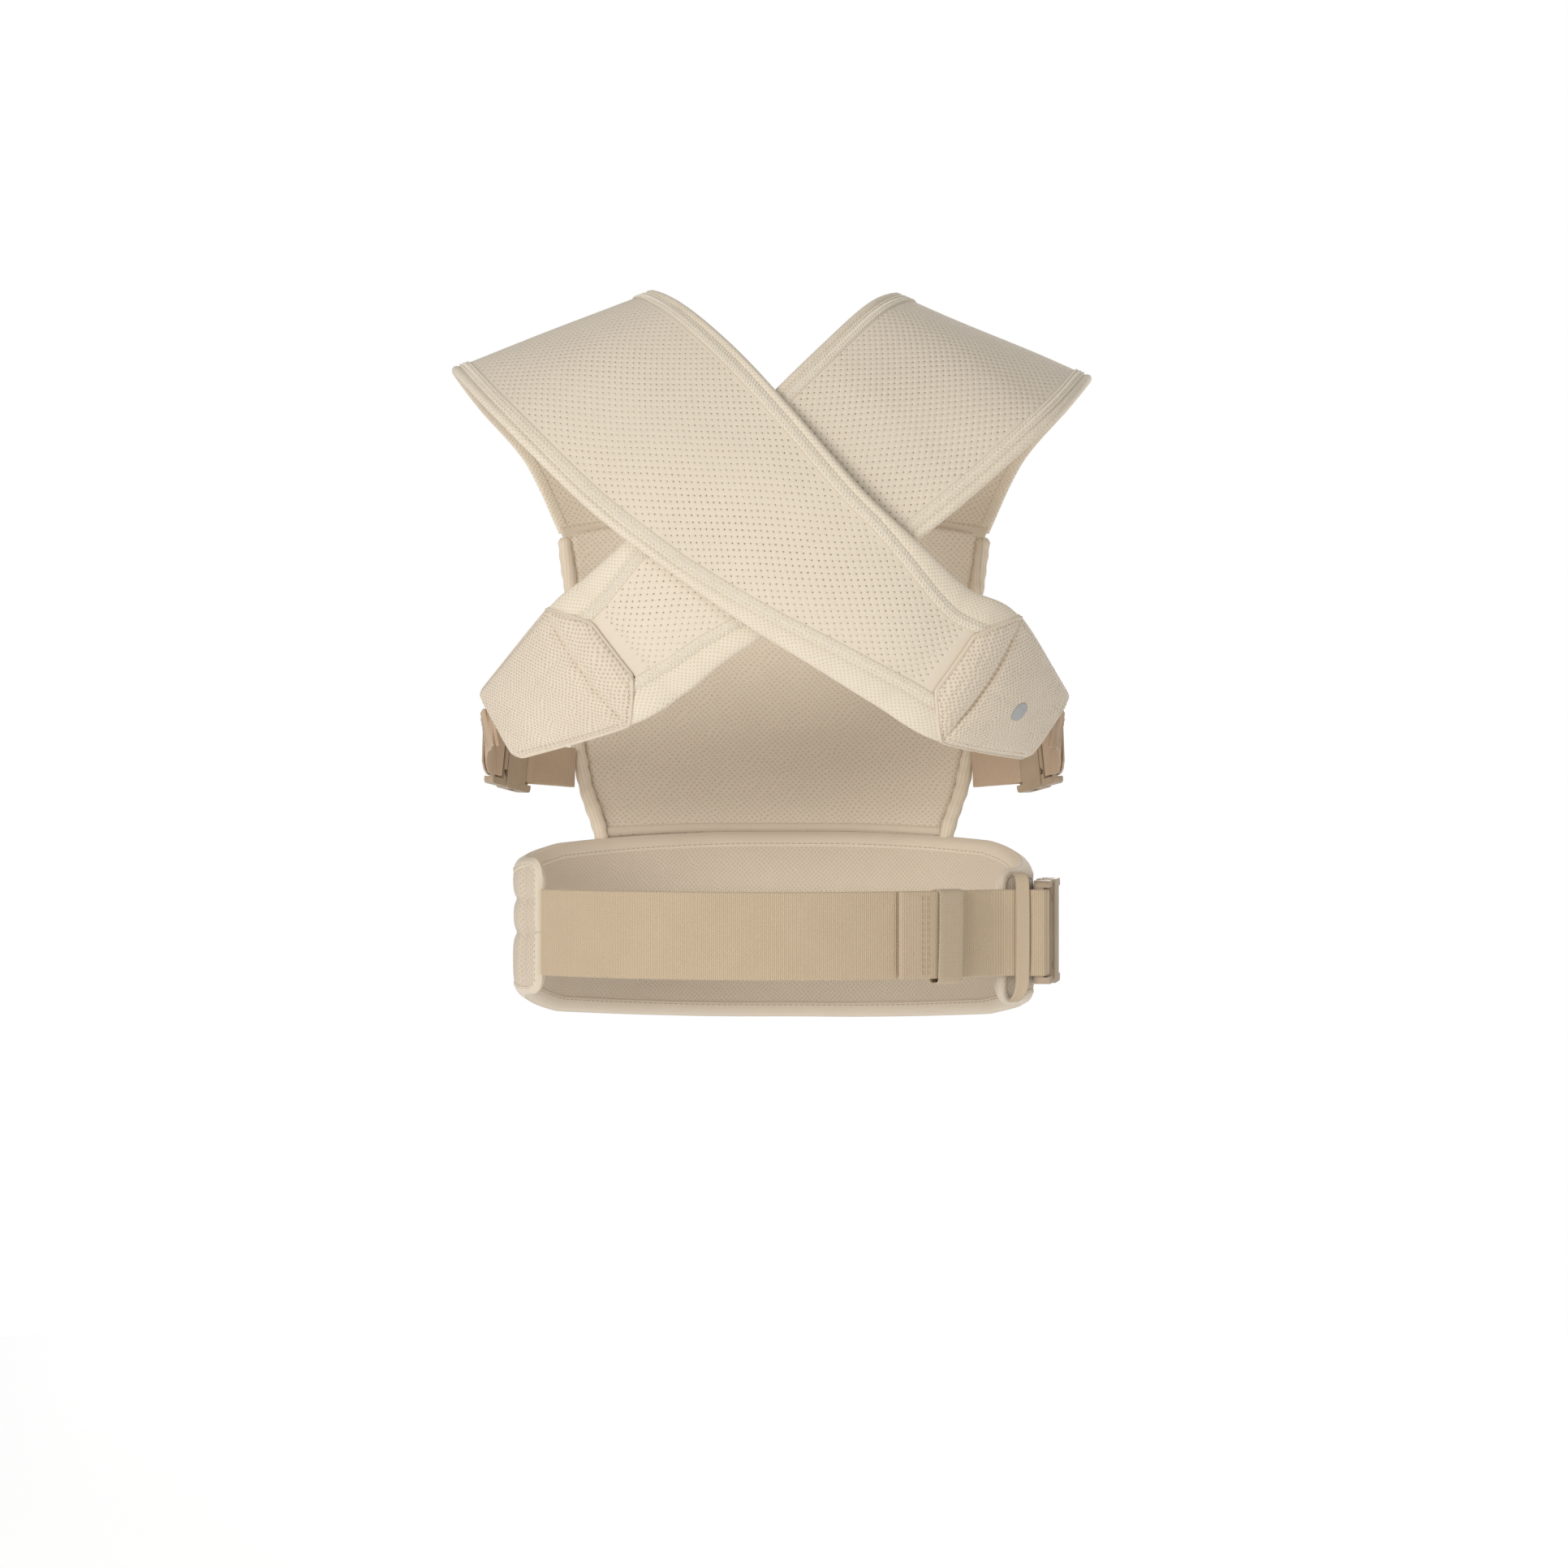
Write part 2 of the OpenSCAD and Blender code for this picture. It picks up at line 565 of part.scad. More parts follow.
// Stations of the panel: [half width, depth at the middle, set-back of its edge, height].
panel_shape = [[104, 105, 35, 54], [114, 116, 34, 84], [121, 126, 32, 120],
    [122, 131, 28, 160], [124, 130, 22, 200], [128, 126, 18, 230], [131, 121.5, 15, 256]];
function panel_at(z) =
    let (n = len(panel_shape) - 1, i = [for (k = [0:n - 1]) if (z >= panel_shape[k][3]) k],
         k = len(i) ? max(i) : 0, low = panel_shape[k][3])
    curve(panel_shape, k + (z - low) / (panel_shape[k + 1][3] - low));
function panel_half(z) = panel_at(z)[0];
function on_panel(x, z, h) =
    let (p = panel_at(z), s = abs(x) / p[0],
         n = unit([sign(x) * 2.15 * p[2] * pow(s, 1.15) / p[0], 1]))
    [x + h * n.x, p[1] - p[2] * pow(s, 2.15) + h * n.y, z];

// The panel's lower edge meets the belt, and its upper edge meets the shoulder straps.
function panel_low(x) = belt_half(180 - asin(abs(x) / (back_r + 8))) + 0.4;
function panel_high(x) = abs(x) < 47 ? 252 : 253.4 - (abs(x) - 48) / 6;
panel_rows = range(0, 1, 12);
panel_cols = range(-1, 1, 18);
module panel_sheet(h0, h1, inset) {
    function row(t, h) = [for (c = panel_cols)
        let (x = c * (panel_half(lerp(54, 250, t)) - inset))
        on_panel(x, lerp(panel_low(x), panel_high(x), t), h)];
    color(fabric) slab([for (t = panel_rows) row(t, h1)], [for (t = panel_rows) row(t, h0)]);
}

module front_panel() {
    panel_sheet(1.95, 3.2, 5.4);
}

module front_panel_lining() {
    panel_sheet(0, 1.6, 5.4);
}

// A solid through a row of closed rings of points.
module tube(rings) {
    n = len(rings[0]);
    last = len(rings) - 1;
    function id(i, j) = i * n + j % n;
    polyhedron([for (r = rings) each r], concat(
        [[for (j = [0:n - 1]) id(0, j)], [for (j = [n - 1:-1:0]) id(last, j)]],
        [for (i = [0:last - 1], j = [0:n - 1]) each [
            [id(i, j), id(i + 1, j), id(i + 1, j + 1)],
            [id(i, j), id(i + 1, j + 1), id(i, j + 1)]]]));
}

// Padded roll along the panel's side edge, over the leg opening.
module panel_edge_roll(side) {
    function ring(z) =
        let (c = on_panel(side * (panel_half(z) - 0.2), z, 1.6))
        [for (a = [0:45:315]) c + 4.2 * [cos(a), sin(a), 0]];
    color(fabric) tube([for (z = range(56, 236, 12)) ring(z)]);
}

module panel_top_binding() {
    xs = range(-46, 46, 6);
    function row(h, z) = [for (x = xs) let (p = on_panel(x, 252, h)) [p.x, p.y, z]];
    color(fabric) slab([row(4, 252.2), row(4, panel_top)], [row(-0.8, 252.2),
        row(-0.8, panel_top)]);
}

// Neck support that folds forward over the panel's top edge.
flap_y = 122.6;
module neck_flap_cover() {
    color(fabric) difference() {
        flap_block(0, 11);
        flap_block(1.4, 11);
    }
}

module neck_flap_foam() {
    color(padding) flap_block(1.7, 11);
}

module flap_block(inset, t) {
    half = flap_w / 2 - inset;
    r = 14 - inset;
    z0 = panel_top + 1.6 + inset;
    z1 = panel_top + flap_h - inset;
    translate([0, flap_y + t / 2 - inset, 0]) rotate([90, 0, 0])
        linear_extrude(t - 2 * inset) union() {
            translate([-half, z0]) square([2 * half, z1 - z0 - r]);
            translate([-half + r, z0]) square([2 * (half - r), z1 - z0]);
            for (s = [-1, 1]) translate([s * (half - r), z1 - r]) circle(r, $fn = 64);
        }
}

// --------------------------------------------------------------------- nodes

waist_cover();
waist_foam();
waist_lining();
belt_rim(1);  // waist_top_rim
belt_rim(-1);  // waist_bottom_rim
waist_webbing();
webbing_keeper();
safety_loop();
buckle_anchor_webbing();
waist_buckle_frame();
waist_buckle_arm(1);  // waist_buckle_arm_upper
waist_buckle_arm(-1);  // waist_buckle_arm_lower
waist_buckle_housing();
strap_face(-1);  // left_strap_face
strap_lining(-1);  // left_strap_lining
strap_neck_border(-1);  // left_strap_neck_border
strap_arm_border(-1);  // left_strap_arm_border
strap_face(1);  // right_strap_face
strap_lining(1);  // right_strap_lining
strap_neck_border(1);  // right_strap_neck_border
strap_arm_border(1);  // right_strap_arm_border
pad_cover(-1);  // left_strap_pad_cover
pad_foam(-1);  // left_strap_pad_foam
pad_backing(-1);  // left_strap_pad_backing
pad_cover(1);  // right_strap_pad_cover
pad_foam(1);  // right_strap_pad_foam
pad_backing(1);  // right_strap_pad_backing
side_webbing(-1);  // left_side_webbing
side_webbing(1);  // right_side_webbing
side_frame(-1);  // left_side_buckle_frame
side_arm(-1, 1);  // left_side_buckle_arm_upper
side_arm(-1, -1);  // left_side_buckle_arm_lower
side_housing(-1);  // left_side_buckle_housing
side_frame(1);  // right_side_buckle_frame
side_arm(1, 1);  // right_side_buckle_arm_upper
side_arm(1, -1);  // right_side_buckle_arm_lower
side_housing(1);  // right_side_buckle_housing
panel_tab(-1);  // left_panel_tab
panel_tab(1);  // right_panel_tab
front_panel();
front_panel_lining();
panel_edge_roll(-1);  // panel_left_edge_roll
panel_edge_roll(1);  // panel_right_edge_roll
panel_top_binding();
neck_flap_cover();
neck_flap_foam();
pad_patch();
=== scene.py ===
"""Looks of the crossed-strap harness with a padded waist belt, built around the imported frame.

All lengths in this script are millimetres until piece() turns them into metres.
"""
import math
from functools import partialmethod

import bmesh
import bpy
import numpy as np
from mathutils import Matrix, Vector


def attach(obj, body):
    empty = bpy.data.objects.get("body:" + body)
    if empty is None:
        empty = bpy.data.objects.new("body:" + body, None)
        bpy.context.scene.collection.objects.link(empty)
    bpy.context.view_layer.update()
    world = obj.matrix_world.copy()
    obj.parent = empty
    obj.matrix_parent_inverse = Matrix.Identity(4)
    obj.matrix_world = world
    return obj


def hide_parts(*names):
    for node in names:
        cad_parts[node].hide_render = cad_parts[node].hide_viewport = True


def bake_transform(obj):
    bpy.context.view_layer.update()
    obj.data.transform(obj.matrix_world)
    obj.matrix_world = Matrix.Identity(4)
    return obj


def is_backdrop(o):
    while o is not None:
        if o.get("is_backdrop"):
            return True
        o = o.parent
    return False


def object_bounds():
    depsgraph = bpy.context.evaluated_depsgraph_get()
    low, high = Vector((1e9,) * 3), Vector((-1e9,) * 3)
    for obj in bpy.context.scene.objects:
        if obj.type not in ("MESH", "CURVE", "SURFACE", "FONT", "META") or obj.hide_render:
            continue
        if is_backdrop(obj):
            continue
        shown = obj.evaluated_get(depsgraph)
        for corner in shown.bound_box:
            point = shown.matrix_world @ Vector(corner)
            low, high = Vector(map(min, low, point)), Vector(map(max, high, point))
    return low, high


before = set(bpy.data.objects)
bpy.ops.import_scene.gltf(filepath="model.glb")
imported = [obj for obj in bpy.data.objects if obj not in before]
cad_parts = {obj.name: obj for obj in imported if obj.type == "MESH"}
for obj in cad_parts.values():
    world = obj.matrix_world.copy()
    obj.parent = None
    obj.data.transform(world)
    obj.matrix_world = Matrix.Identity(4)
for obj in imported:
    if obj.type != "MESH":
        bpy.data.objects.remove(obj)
cad_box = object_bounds()
rng = np.random.default_rng(7)
PI = math.pi

# ------------------------------------------------------------------ shared geometry

WAIST_A, WAIST_B, SIDE_R = 141.0, 98.0, 62.0
SIDE_X = WAIST_A - SIDE_R
BACK_R = (SIDE_X ** 2 + WAIST_B ** 2 - SIDE_R ** 2) / (2 * (WAIST_B - SIDE_R))
BACK_Y = BACK_R - WAIST_B
JOIN = math.degrees(math.atan2(SIDE_X, BACK_Y))
BELT_END, BELT_LEFT = 52.0, 301.0
HALF_BELT = (BELT_LEFT - BELT_END) / 2
# heights of the two sewn channels, as shares of the half height
BELT_SEAMS = (0.40, -0.09)


def lerp(a, b, t):
    return a + (b - a) * t


def clamp(x):
    return np.clip(x, 0.0, 1.0)


def ease(x):
    x = clamp(x)
    return x * x * (3 - 2 * x)


def unit(v):
    v = np.asarray(v, float)
    return v / np.maximum(np.linalg.norm(v, axis=-1, keepdims=True), 1e-9)


def angles(n):
    return np.linspace(0, 2 * PI, n, endpoint=False)


def outward(phi):
    """The direction out of the belt at a heading in degrees: 0 is the middle of the back."""
    r = np.radians(phi)
    return np.stack([np.sin(r), -np.cos(r)], -1)


def oval(phi, off):
    """Plan point at heading phi, off outside the waist loop."""
    phi, off = np.broadcast_arrays(np.asarray(phi, float), np.asarray(off, float))
    turn = np.where(phi > 180, phi - 360, phi)
    size = np.abs(turn)
    back = size <= JOIN
    side = ~back & (size < 180 - JOIN)
    centre = np.stack([np.where(side, np.sign(turn) * SIDE_X, 0.0),
                       np.where(back, BACK_Y, np.where(side, 0.0, -BACK_Y))], -1)
    radius = np.where(side, SIDE_R, BACK_R) + off
    return centre + radius[..., None] * outward(turn)


def curve(points, u):
    """Smooth curve through the points, at u from 0 to len(points) - 1."""
    p = np.asarray(points, float)
    u = np.asarray(u, float)
    last = len(p) - 1
    i = np.clip(np.floor(u).astype(int), 0, last - 1)
    t = (u - i)[..., None]
    a, b, c, d = p[np.maximum(i - 1, 0)], p[i], p[i + 1], p[np.minimum(i + 2, last)]
    return 0.5 * (2 * b + (c - a) * t + (2 * a - 5 * b + 4 * c - d) * t ** 2
                  + (3 * b - a - 3 * c + d) * t ** 3)


def lengths(points):
    return np.concatenate([[0], np.cumsum(np.linalg.norm(np.diff(points, axis=0), axis=1))])


def read_at(at, s, rows):
    """Rows of numbers that lie at s, read off at other places."""
    return np.stack([np.interp(at, s, rows[:, k]) for k in range(rows.shape[1])], -1)


def resample(points, step, *others):
    """The smooth curve through the points at an even step, with other rows carried along."""
    p = np.asarray(points, float)
    u = np.linspace(0, len(p) - 1, (len(p) - 1) * 12 + 1)
    fine = curve(p, u)
    s = lengths(fine)
    at = np.linspace(0, s[-1], max(3, int(round(s[-1] / step)) + 1))
    out = [read_at(at, s, fine)]
    out += [read_at(at, s, read_at(u, np.arange(len(o)), o)) for o in others]
    return out if others else out[0]


def eased(points, step, soft, *others, closed=False):
    """The polyline at an even step with its corners softened over about soft millimetres."""
    rows = [np.asarray(q, float) for q in (points, *others)]
    if closed:
        rows = [np.concatenate([q, q[:1]]) for q in rows]
    s = lengths(rows[0])
    n = max(3, int(round(s[-1] / step)) + 1)
    at = np.linspace(0, s[-1], n)
    k = np.arange(-int(3 * soft / step) - 1, int(3 * soft / step) + 2)
    weight = np.exp(-0.5 * (k * step / soft) ** 2)
    weight /= weight.sum()
    out = []
    for q in rows:
        q = read_at(at, s, q)
        pad = len(k) // 2
        if closed:
            q = q[:-1]
            wide = np.concatenate([q[-pad:], q, q[:pad]])
        else:
            wide = np.concatenate([2 * q[:1] - q[1:pad + 1][::-1], q,
                                   2 * q[-1:] - q[-pad - 1:-1][::-1]])
        out.append(np.stack([np.convolve(wide[:, j], weight, "valid")
                             for j in range(q.shape[1])], -1))
    return out if others else out[0]


# ------------------------------------------------------------------------ meshes

def grid_faces(rows, cols, wrap_rows=False):
    """Faces of a grid of points whose columns close on themselves."""
    a, b = np.meshgrid(np.arange(rows if wrap_rows else rows - 1), np.arange(cols), indexing="ij")
    a2, b2 = (a + 1) % rows, (b + 1) % cols
    f = np.stack([a * cols + b, a2 * cols + b, a2 * cols + b2, a * cols + b2], -1)
    return f.reshape(-1, 4).tolist()


def piece(name, mesh, mats, stands_for=(), parent=None, body="harness", index=None,
          closed=True):
    """A mesh object that rides on a body or with its parent.

    mesh is its vertices, its faces and each vertex's place on the flat cloth.
    """
    verts, faces, flat = mesh
    me = bpy.data.meshes.new(name)
    me.from_pydata((verts / 1000).tolist(), [], faces)
    if flat is not None:
        f = np.zeros((len(verts), 3), np.float32)
        f[:, :2] = flat
        me.attributes.new("flat", "FLOAT_VECTOR", "POINT").data.foreach_set("vector", f.ravel())
    mats = mats if isinstance(mats, (list, tuple)) else [mats]
    for mat in mats:
        me.materials.append(mat)
    if index is not None:
        me.polygons.foreach_set("material_index", np.asarray(index, np.int32))
    me.polygons.foreach_set("use_smooth", np.full(len(me.polygons), True))
    if closed:
        bm = bmesh.new()
        bm.from_mesh(me)
        bmesh.ops.recalc_face_normals(bm, faces=bm.faces)
        bm.to_mesh(me)
        bm.free()
    me.update()
    o = bpy.data.objects.new(name, me)
    bpy.context.scene.collection.objects.link(o)
    if parent is not None:
        o.parent = parent
    elif body:
        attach(o, body)
    if stands_for:
        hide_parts(*stands_for)
    return o


def loft(sections, flat, closed=False):
    """The mesh of a tube through rows of closed sections, capped unless it is a closed loop."""
    rows, cols = sections.shape[:2]
    faces = grid_faces(rows, cols, closed)
    if not closed:
        faces += [list(range(cols)), [(rows - 1) * cols + j for j in range(cols)]]
    return sections.reshape(-1, 3), faces, flat.reshape(-1, flat.shape[-1])


def slab(top, low, flat):
    """The mesh between two grids of points that have the same places on the flat cloth."""
    return loft(np.concatenate([top, low[:, ::-1]], 1), np.concatenate([flat, flat[:, ::-1]], 1))


def spread(rows, cols):
    """Every row value beside every column value, as a grid of pairs."""
    return np.stack(np.broadcast_arrays(rows[:, None], np.asarray(cols)[None]), -1)


def join(parts):
    """One mesh out of several."""
    faces, base = [], 0
    for v, f, _ in parts:
        faces += [[base + k for k in face] for face in f]
        base += len(v)
    return np.concatenate([v for v, *_ in parts]), faces, np.concatenate([a for *_, a in parts])


def heading(p, closed):
    """Directions along a path of points."""
    return unit(np.roll(p, -1, 0) - np.roll(p, 1, 0) if closed else np.gradient(p, axis=0))


def tube(path, r, sides=8, up=(0, 0, 1), closed=False):
    """A round cord along a path."""
    d = heading(path, closed)
    x = unit(np.cross(d, up))
    y = np.cross(x, d)
    a = angles(sides)
    ring = np.cos(a)[:, None] * x[:, None] + np.sin(a)[:, None] * y[:, None]
    sec = path[:, None] + ring * np.broadcast_to(r, len(path))[:, None, None]
    return loft(sec, spread(lengths(path), a * 1.2), closed)


def threads(a, b, n, r=0.3, arch=0.3):
    """Short lens-shaped stitches from points a to b, raised along n."""
    a, b, n = (np.asarray(q, float) for q in (a, b, n))
    d = unit(b - a)
    side = unit(np.cross(d, n))
    up = np.cross(side, d)
    rings = []
    for t, k, h in ((0.0, 0.5, -0.12), (0.5, 1.0, arch), (1.0, 0.5, -0.12)):
        c = lerp(a, b, t) + n * h
        rings.append(np.stack([c + side * r * k, c + up * r * k * 0.8, c - side * r * k,
                               c - up * r * k * 0.8], 1))
    v = np.stack(rings, 1).reshape(-1, 3)
    one = np.array(grid_faces(3, 4) + [[0, 1, 2, 3], [11, 10, 9, 8]])
    f = (one + 12 * np.arange(len(a))[:, None, None]).reshape(-1, 4)
    return v, f.tolist(), np.zeros((len(v), 2))


def stitch_row(path, n, length, gap, r, arch):
    """A row of stitches along a path of points with normals, or with one normal for all."""
    p, n = resample(path, 0.5, np.broadcast_to(n, path.shape))
    s = lengths(p)
    starts = np.arange(0.4, s[-1] - length, length + gap)
    return threads(read_at(starts, s, p), read_at(starts + length, s, p),
                   unit(read_at(starts + length / 2, s, n)), r, arch)


def stitching(name, parts, parent, mats=None):
    """One piece out of rows of stitches, which rides with the cloth it is sewn through."""
    v, f, _ = join(parts)
    piece(name, (v, f, None), mats or GROOVE_SHADED_THREAD, parent=parent, closed=False)


# --------------------------------------------------------------------- materials

def linear(rgb):
    return tuple((c / 12.92 if c <= 0.04045 else ((c + 0.055) / 1.055) ** 2.4)
                 for c in (x / 255 for x in rgb)) + (1.0,)


class Nodes:
    """Short names for the shader nodes that the materials use."""

    def __init__(self, mat):
        self.t = mat.node_tree
        self.flat = None

    def new(self, kind, **props):
        n = self.t.nodes.new(kind)
        for k, v in props.items():
            setattr(n, k, v)
        return n

    def put(self, socket, value):
        if hasattr(value, "is_output"):
            self.t.links.new(value, socket)
        else:
            socket.default_value = value

    def math(self, op, a, b=0.0, c=None):
        n = self.new("ShaderNodeMath", operation=op)
        self.put(n.inputs[0], a)
        self.put(n.inputs[1], b)
        if c is not None:
            self.put(n.inputs[2], c)
        return n.outputs[0]

    add, sub = partialmethod(math, "ADD"), partialmethod(math, "SUBTRACT")
    mul, mul_add = partialmethod(math, "MULTIPLY"), partialmethod(math, "MULTIPLY_ADD")

    def xy(self):
        """The place on the flat cloth, in millimetres: as a vector, along and across."""
        if self.flat is None:
            a = self.new("ShaderNodeAttribute", attribute_name="flat")
            s = self.new("ShaderNodeSeparateXYZ")
            self.t.links.new(a.outputs["Vector"], s.inputs[0])
            self.flat = (a.outputs["Vector"], s.outputs[0], s.outputs[1])
        return self.flat

    def place(self):
        return self.new("ShaderNodeTexCoord").outputs["Object"]

    def noise(self, vector, scale, detail=2.0, rough=0.5):
        n = self.new("ShaderNodeTexNoise")
        self.put(n.inputs["Vector"], vector)
        n.inputs["Scale"].default_value = scale
        n.inputs["Detail"].default_value = detail
        n.inputs["Roughness"].default_value = rough
        return n.outputs["Fac"]

    def wave(self, x, pitch, phase=0.0):
        """Sine of x at that pitch, from -1 to 1."""
        return self.math("SINE", self.add(self.mul(x, 2 * PI / pitch), phase))

    def ramp(self, fac, stops):
        n = self.new("ShaderNodeValToRGB")
        e = n.color_ramp.elements
        while len(e) > len(stops):
            e.remove(e[-1])
        while len(e) < len(stops):
            e.new(0.5)
        for k, (at, colour) in zip(e, stops):
            k.position = at
            k.color = colour
        self.put(n.inputs[0], fac)
        return n.outputs[0]

    def bump(self, height, distance):
        n = self.new("ShaderNodeBump")
        n.inputs["Strength"].default_value = 1.0
        n.inputs["Distance"].default_value = distance
        self.put(n.inputs["Height"], height)
        return n.outputs[0]


def shade(rgb, k):
    c = linear(rgb)
    return (c[0] * k, c[1] * k, c[2] * k, 1.0)


def material(name, dark, light, pattern, depth=0.2, rough=0.86, sheen=0.2, cloudy=0.2,
             fuzz=0.2):
    """A cloth material: pattern(nodes) gives its relief from 0 to 1 in cloth coordinates, and the
    relief's low places take the darker colour as painted shade.
    """
    m = bpy.data.materials.new(name)
    m.use_nodes = True
    g = Nodes(m)
    p = g.t.nodes["Principled BSDF"]
    p.inputs["Specular IOR Level"].default_value = 0.2
    if sheen:
        p.inputs["Sheen Weight"].default_value = sheen
        p.inputs["Sheen Roughness"].default_value = 0.6
    relief = pattern(g)
    g.put(p.inputs["Roughness"], g.add(rough + 0.05, g.mul(relief, -0.1)))
    cloud = g.noise(g.place(), 38.0, 3.0, 0.6)
    fine = g.noise(g.place(), 1500.0, 2.0, 0.7)
    # colour follows the relief, darker in its low places: painted shade in the cloth's hollows,
    # mixed with random tone from the two noises
    mix = g.add(g.mul(relief, 1 - cloudy - fuzz), g.add(g.mul(cloud, cloudy), g.mul(fine, fuzz)))
    g.put(p.inputs["Base Color"], g.ramp(mix, [(0.1, linear(dark)), (0.9, linear(light))]))
    g.put(p.inputs["Normal"], g.bump(g.add(relief, g.mul(fine, 0.35)), depth / 1000))
    return m


def dimples(p, q):
    """Small dimples, q apart in rows p apart, alternate rows offset by half."""
    def pattern(g):
        v, x, y = g.xy()
        bend = g.mul(g.sub(g.noise(v, 0.07, 1.0), 0.5), p * 3)
        x = g.add(x, bend)
        y = g.sub(y, bend)
        a = g.mul(g.wave(x, 2 * p), g.wave(y, q))
        k = g.add(g.mul(a, 1.05), g.mul_add(g.wave(x, p, -PI / 2), 0.2, -0.25))
        return g.sub(1.0, g.math("MAXIMUM", k, 0.0))
    return pattern


def knit(pitch):
    """Fine, even loops."""
    def pattern(g):
        _, x, y = g.xy()
        a = g.wave(x, pitch)
        b = g.wave(g.add(y, g.mul(a, pitch * 0.2)), pitch * 0.8)
        return g.mul_add(g.mul(a, b), 0.5, 0.5)
    return pattern


def woven(p, q):
    """Knuckles q apart along ribs p apart, alternate ribs offset by half."""
    def pattern(g):
        _, x, y = g.xy()
        a = g.mul(g.wave(x, 2 * p, PI / 4), g.wave(y, q))
        k = g.add(a, g.wave(x, p))
        return g.mul_add(k, 0.25, 0.5)
    return pattern


def herringbone(pitch, leg):
    """Chevrons across a band."""
    def pattern(g):
        _, x, y = g.xy()
        tri = g.math("PINGPONG", y, leg)
        a = g.math("SINE", g.mul(g.add(x, tri), 2 * PI / pitch))
        return g.mul_add(a, 0.5, 0.5)
    return pattern


MESH = material("perforated_knit", (216, 201, 180), (234, 221, 200), knit(0.75), 0.08)
# painted shade: the pits of the perforations take this darker colour for the shade inside each hole
HOLE_SHADE = material("perforation_pit_shade", (150, 130, 104), (176, 156, 128), knit(0.75), 0.05, sheen=0.0)
BAND = material("rolled_knit_edge", (200, 184, 160), (228, 215, 194), dimples(1.4, 2.8), 0.18)
SEAM = material("seam_shadow", (150, 126, 98), (176, 152, 122), knit(0.8), 0.08, sheen=0.0)
THREAD = material("stitch_thread", (232, 221, 202), (246, 238, 222), knit(0.5), 0.04, rough=0.6)
PAD = material("pad_pique", (188, 170, 147), (224, 209, 188), dimples(1.57, 3.15), 0.34)
PAD_EDGE = material("pad_piping", (208, 191, 167), (234, 220, 199), knit(0.8), 0.10)
# real topstitching thread, coloured dark to carry the painted shade of the seam groove it sits in
GROOVE_SHADED_THREAD = material("topstitch_thread", (166, 145, 119), (190, 169, 142), knit(0.5), 0.04,
                      rough=0.6)
LINING = material("strap_lining_knit", (196, 180, 157), (222, 208, 188), dimples(1.8, 3.6), 0.2)
BELT = material("belt_spacer_mesh", (182, 165, 143), (206, 191, 171), dimples(1.4, 2.8), 0.18)
BINDING = material("folded_binding", (203, 188, 166), (223, 209, 189), knit(0.8), 0.05)
WEBBING = material("woven_webbing", (164, 140, 109), (216, 197, 170), woven(1.15, 1.19), 0.26,
                   rough=0.78, sheen=0.1, cloudy=0.12, fuzz=0.12)
SIDE_WEB = material("side_webbing_weave", (168, 142, 116), (206, 182, 156), woven(1.1, 1.2),
                    0.22, rough=0.8, cloudy=0.12, fuzz=0.12)
ELASTIC = material("herringbone_elastic", (172, 152, 125), (206, 188, 162),
                   herringbone(1.25, 2.9), 0.14, rough=0.8, sheen=0.1, cloudy=0.12, fuzz=0.12)
PATCH = material("plain_patch_weave", (164, 164, 162), (184, 184, 182), knit(0.6), 0.06)


def plastic():
    m = bpy.data.materials.new("moulded_plastic")
    m.use_nodes = True
    g = Nodes(m)
    p = g.t.nodes["Principled BSDF"]
    p.inputs["Specular IOR Level"].default_value = 0.45
    where = g.place()
    cloud = g.noise(where, 60.0, 3.0)
    grain = g.noise(where, 5200.0, 2.0)
    rubbed = g.noise(where, 420.0, 4.0, 0.7)
    mix = g.add(g.mul(cloud, 0.7), g.mul(rubbed, 0.3))
    g.put(p.inputs["Base Color"], g.ramp(mix, [(0.2, shade((166, 146, 122), 0.93)),
                                               (0.8, shade((174, 154, 130), 1.05))]))
    g.put(p.inputs["Roughness"], g.mul_add(rubbed, 0.18, 0.36))
    g.put(p.inputs["Normal"], g.bump(grain, 0.00004))
    return m


PLASTIC = plastic()

# ------------------------------------------------------------- camera, light, stage

scene = bpy.context.scene
cam = bpy.data.cameras.new("camera")
cam.lens, cam.sensor_width, cam.clip_start, cam.clip_end = 93.45, 36.0, 0.1, 60.0
cam_o = bpy.data.objects.new("camera", cam)
cam_o.location = (0.0062, -2.4, 0.086)
cam_o.rotation_euler = (PI / 2, 0, 0)
scene.collection.objects.link(cam_o)
scene.camera = cam_o
scene.view_settings.view_transform = "Standard"
scene.view_settings.look = "None"

# soft, even studio light; the backdrop itself shows as plain white
world = bpy.data.worlds.new("studio")
world.use_nodes = True
g = Nodes(world)
backdrop = g.new("ShaderNodeBackground")
backdrop.inputs[1].default_value = 1.0
backdrop.inputs[0].default_value = (1.0, 1.0, 1.0, 1.0)
soft = g.t.nodes["Background"]
soft.inputs[0].default_value = (1.0, 1.0, 1.0, 1.0)
soft.inputs[1].default_value = 0.42
seen = g.new("ShaderNodeMixShader")
g.t.links.new(g.new("ShaderNodeLightPath").outputs["Is Camera Ray"], seen.inputs[0])
g.t.links.new(soft.outputs[0], seen.inputs[1])
g.t.links.new(backdrop.outputs[0], seen.inputs[2])
g.t.links.new(seen.outputs[0], g.t.nodes["World Output"].inputs[0])
scene.world = world


def area(name, place, target, size, power, colour=(1, 1, 1)):
    light = bpy.data.lights.new(name, "AREA")
    light.shape, light.size, light.energy, light.color = "DISK", size, power, colour
    o = bpy.data.objects.new(name, light)
    o.location = place
    o.rotation_euler = (Vector(target) - Vector(place)).to_track_quat("-Z", "Y").to_euler()
    scene.collection.objects.link(o)


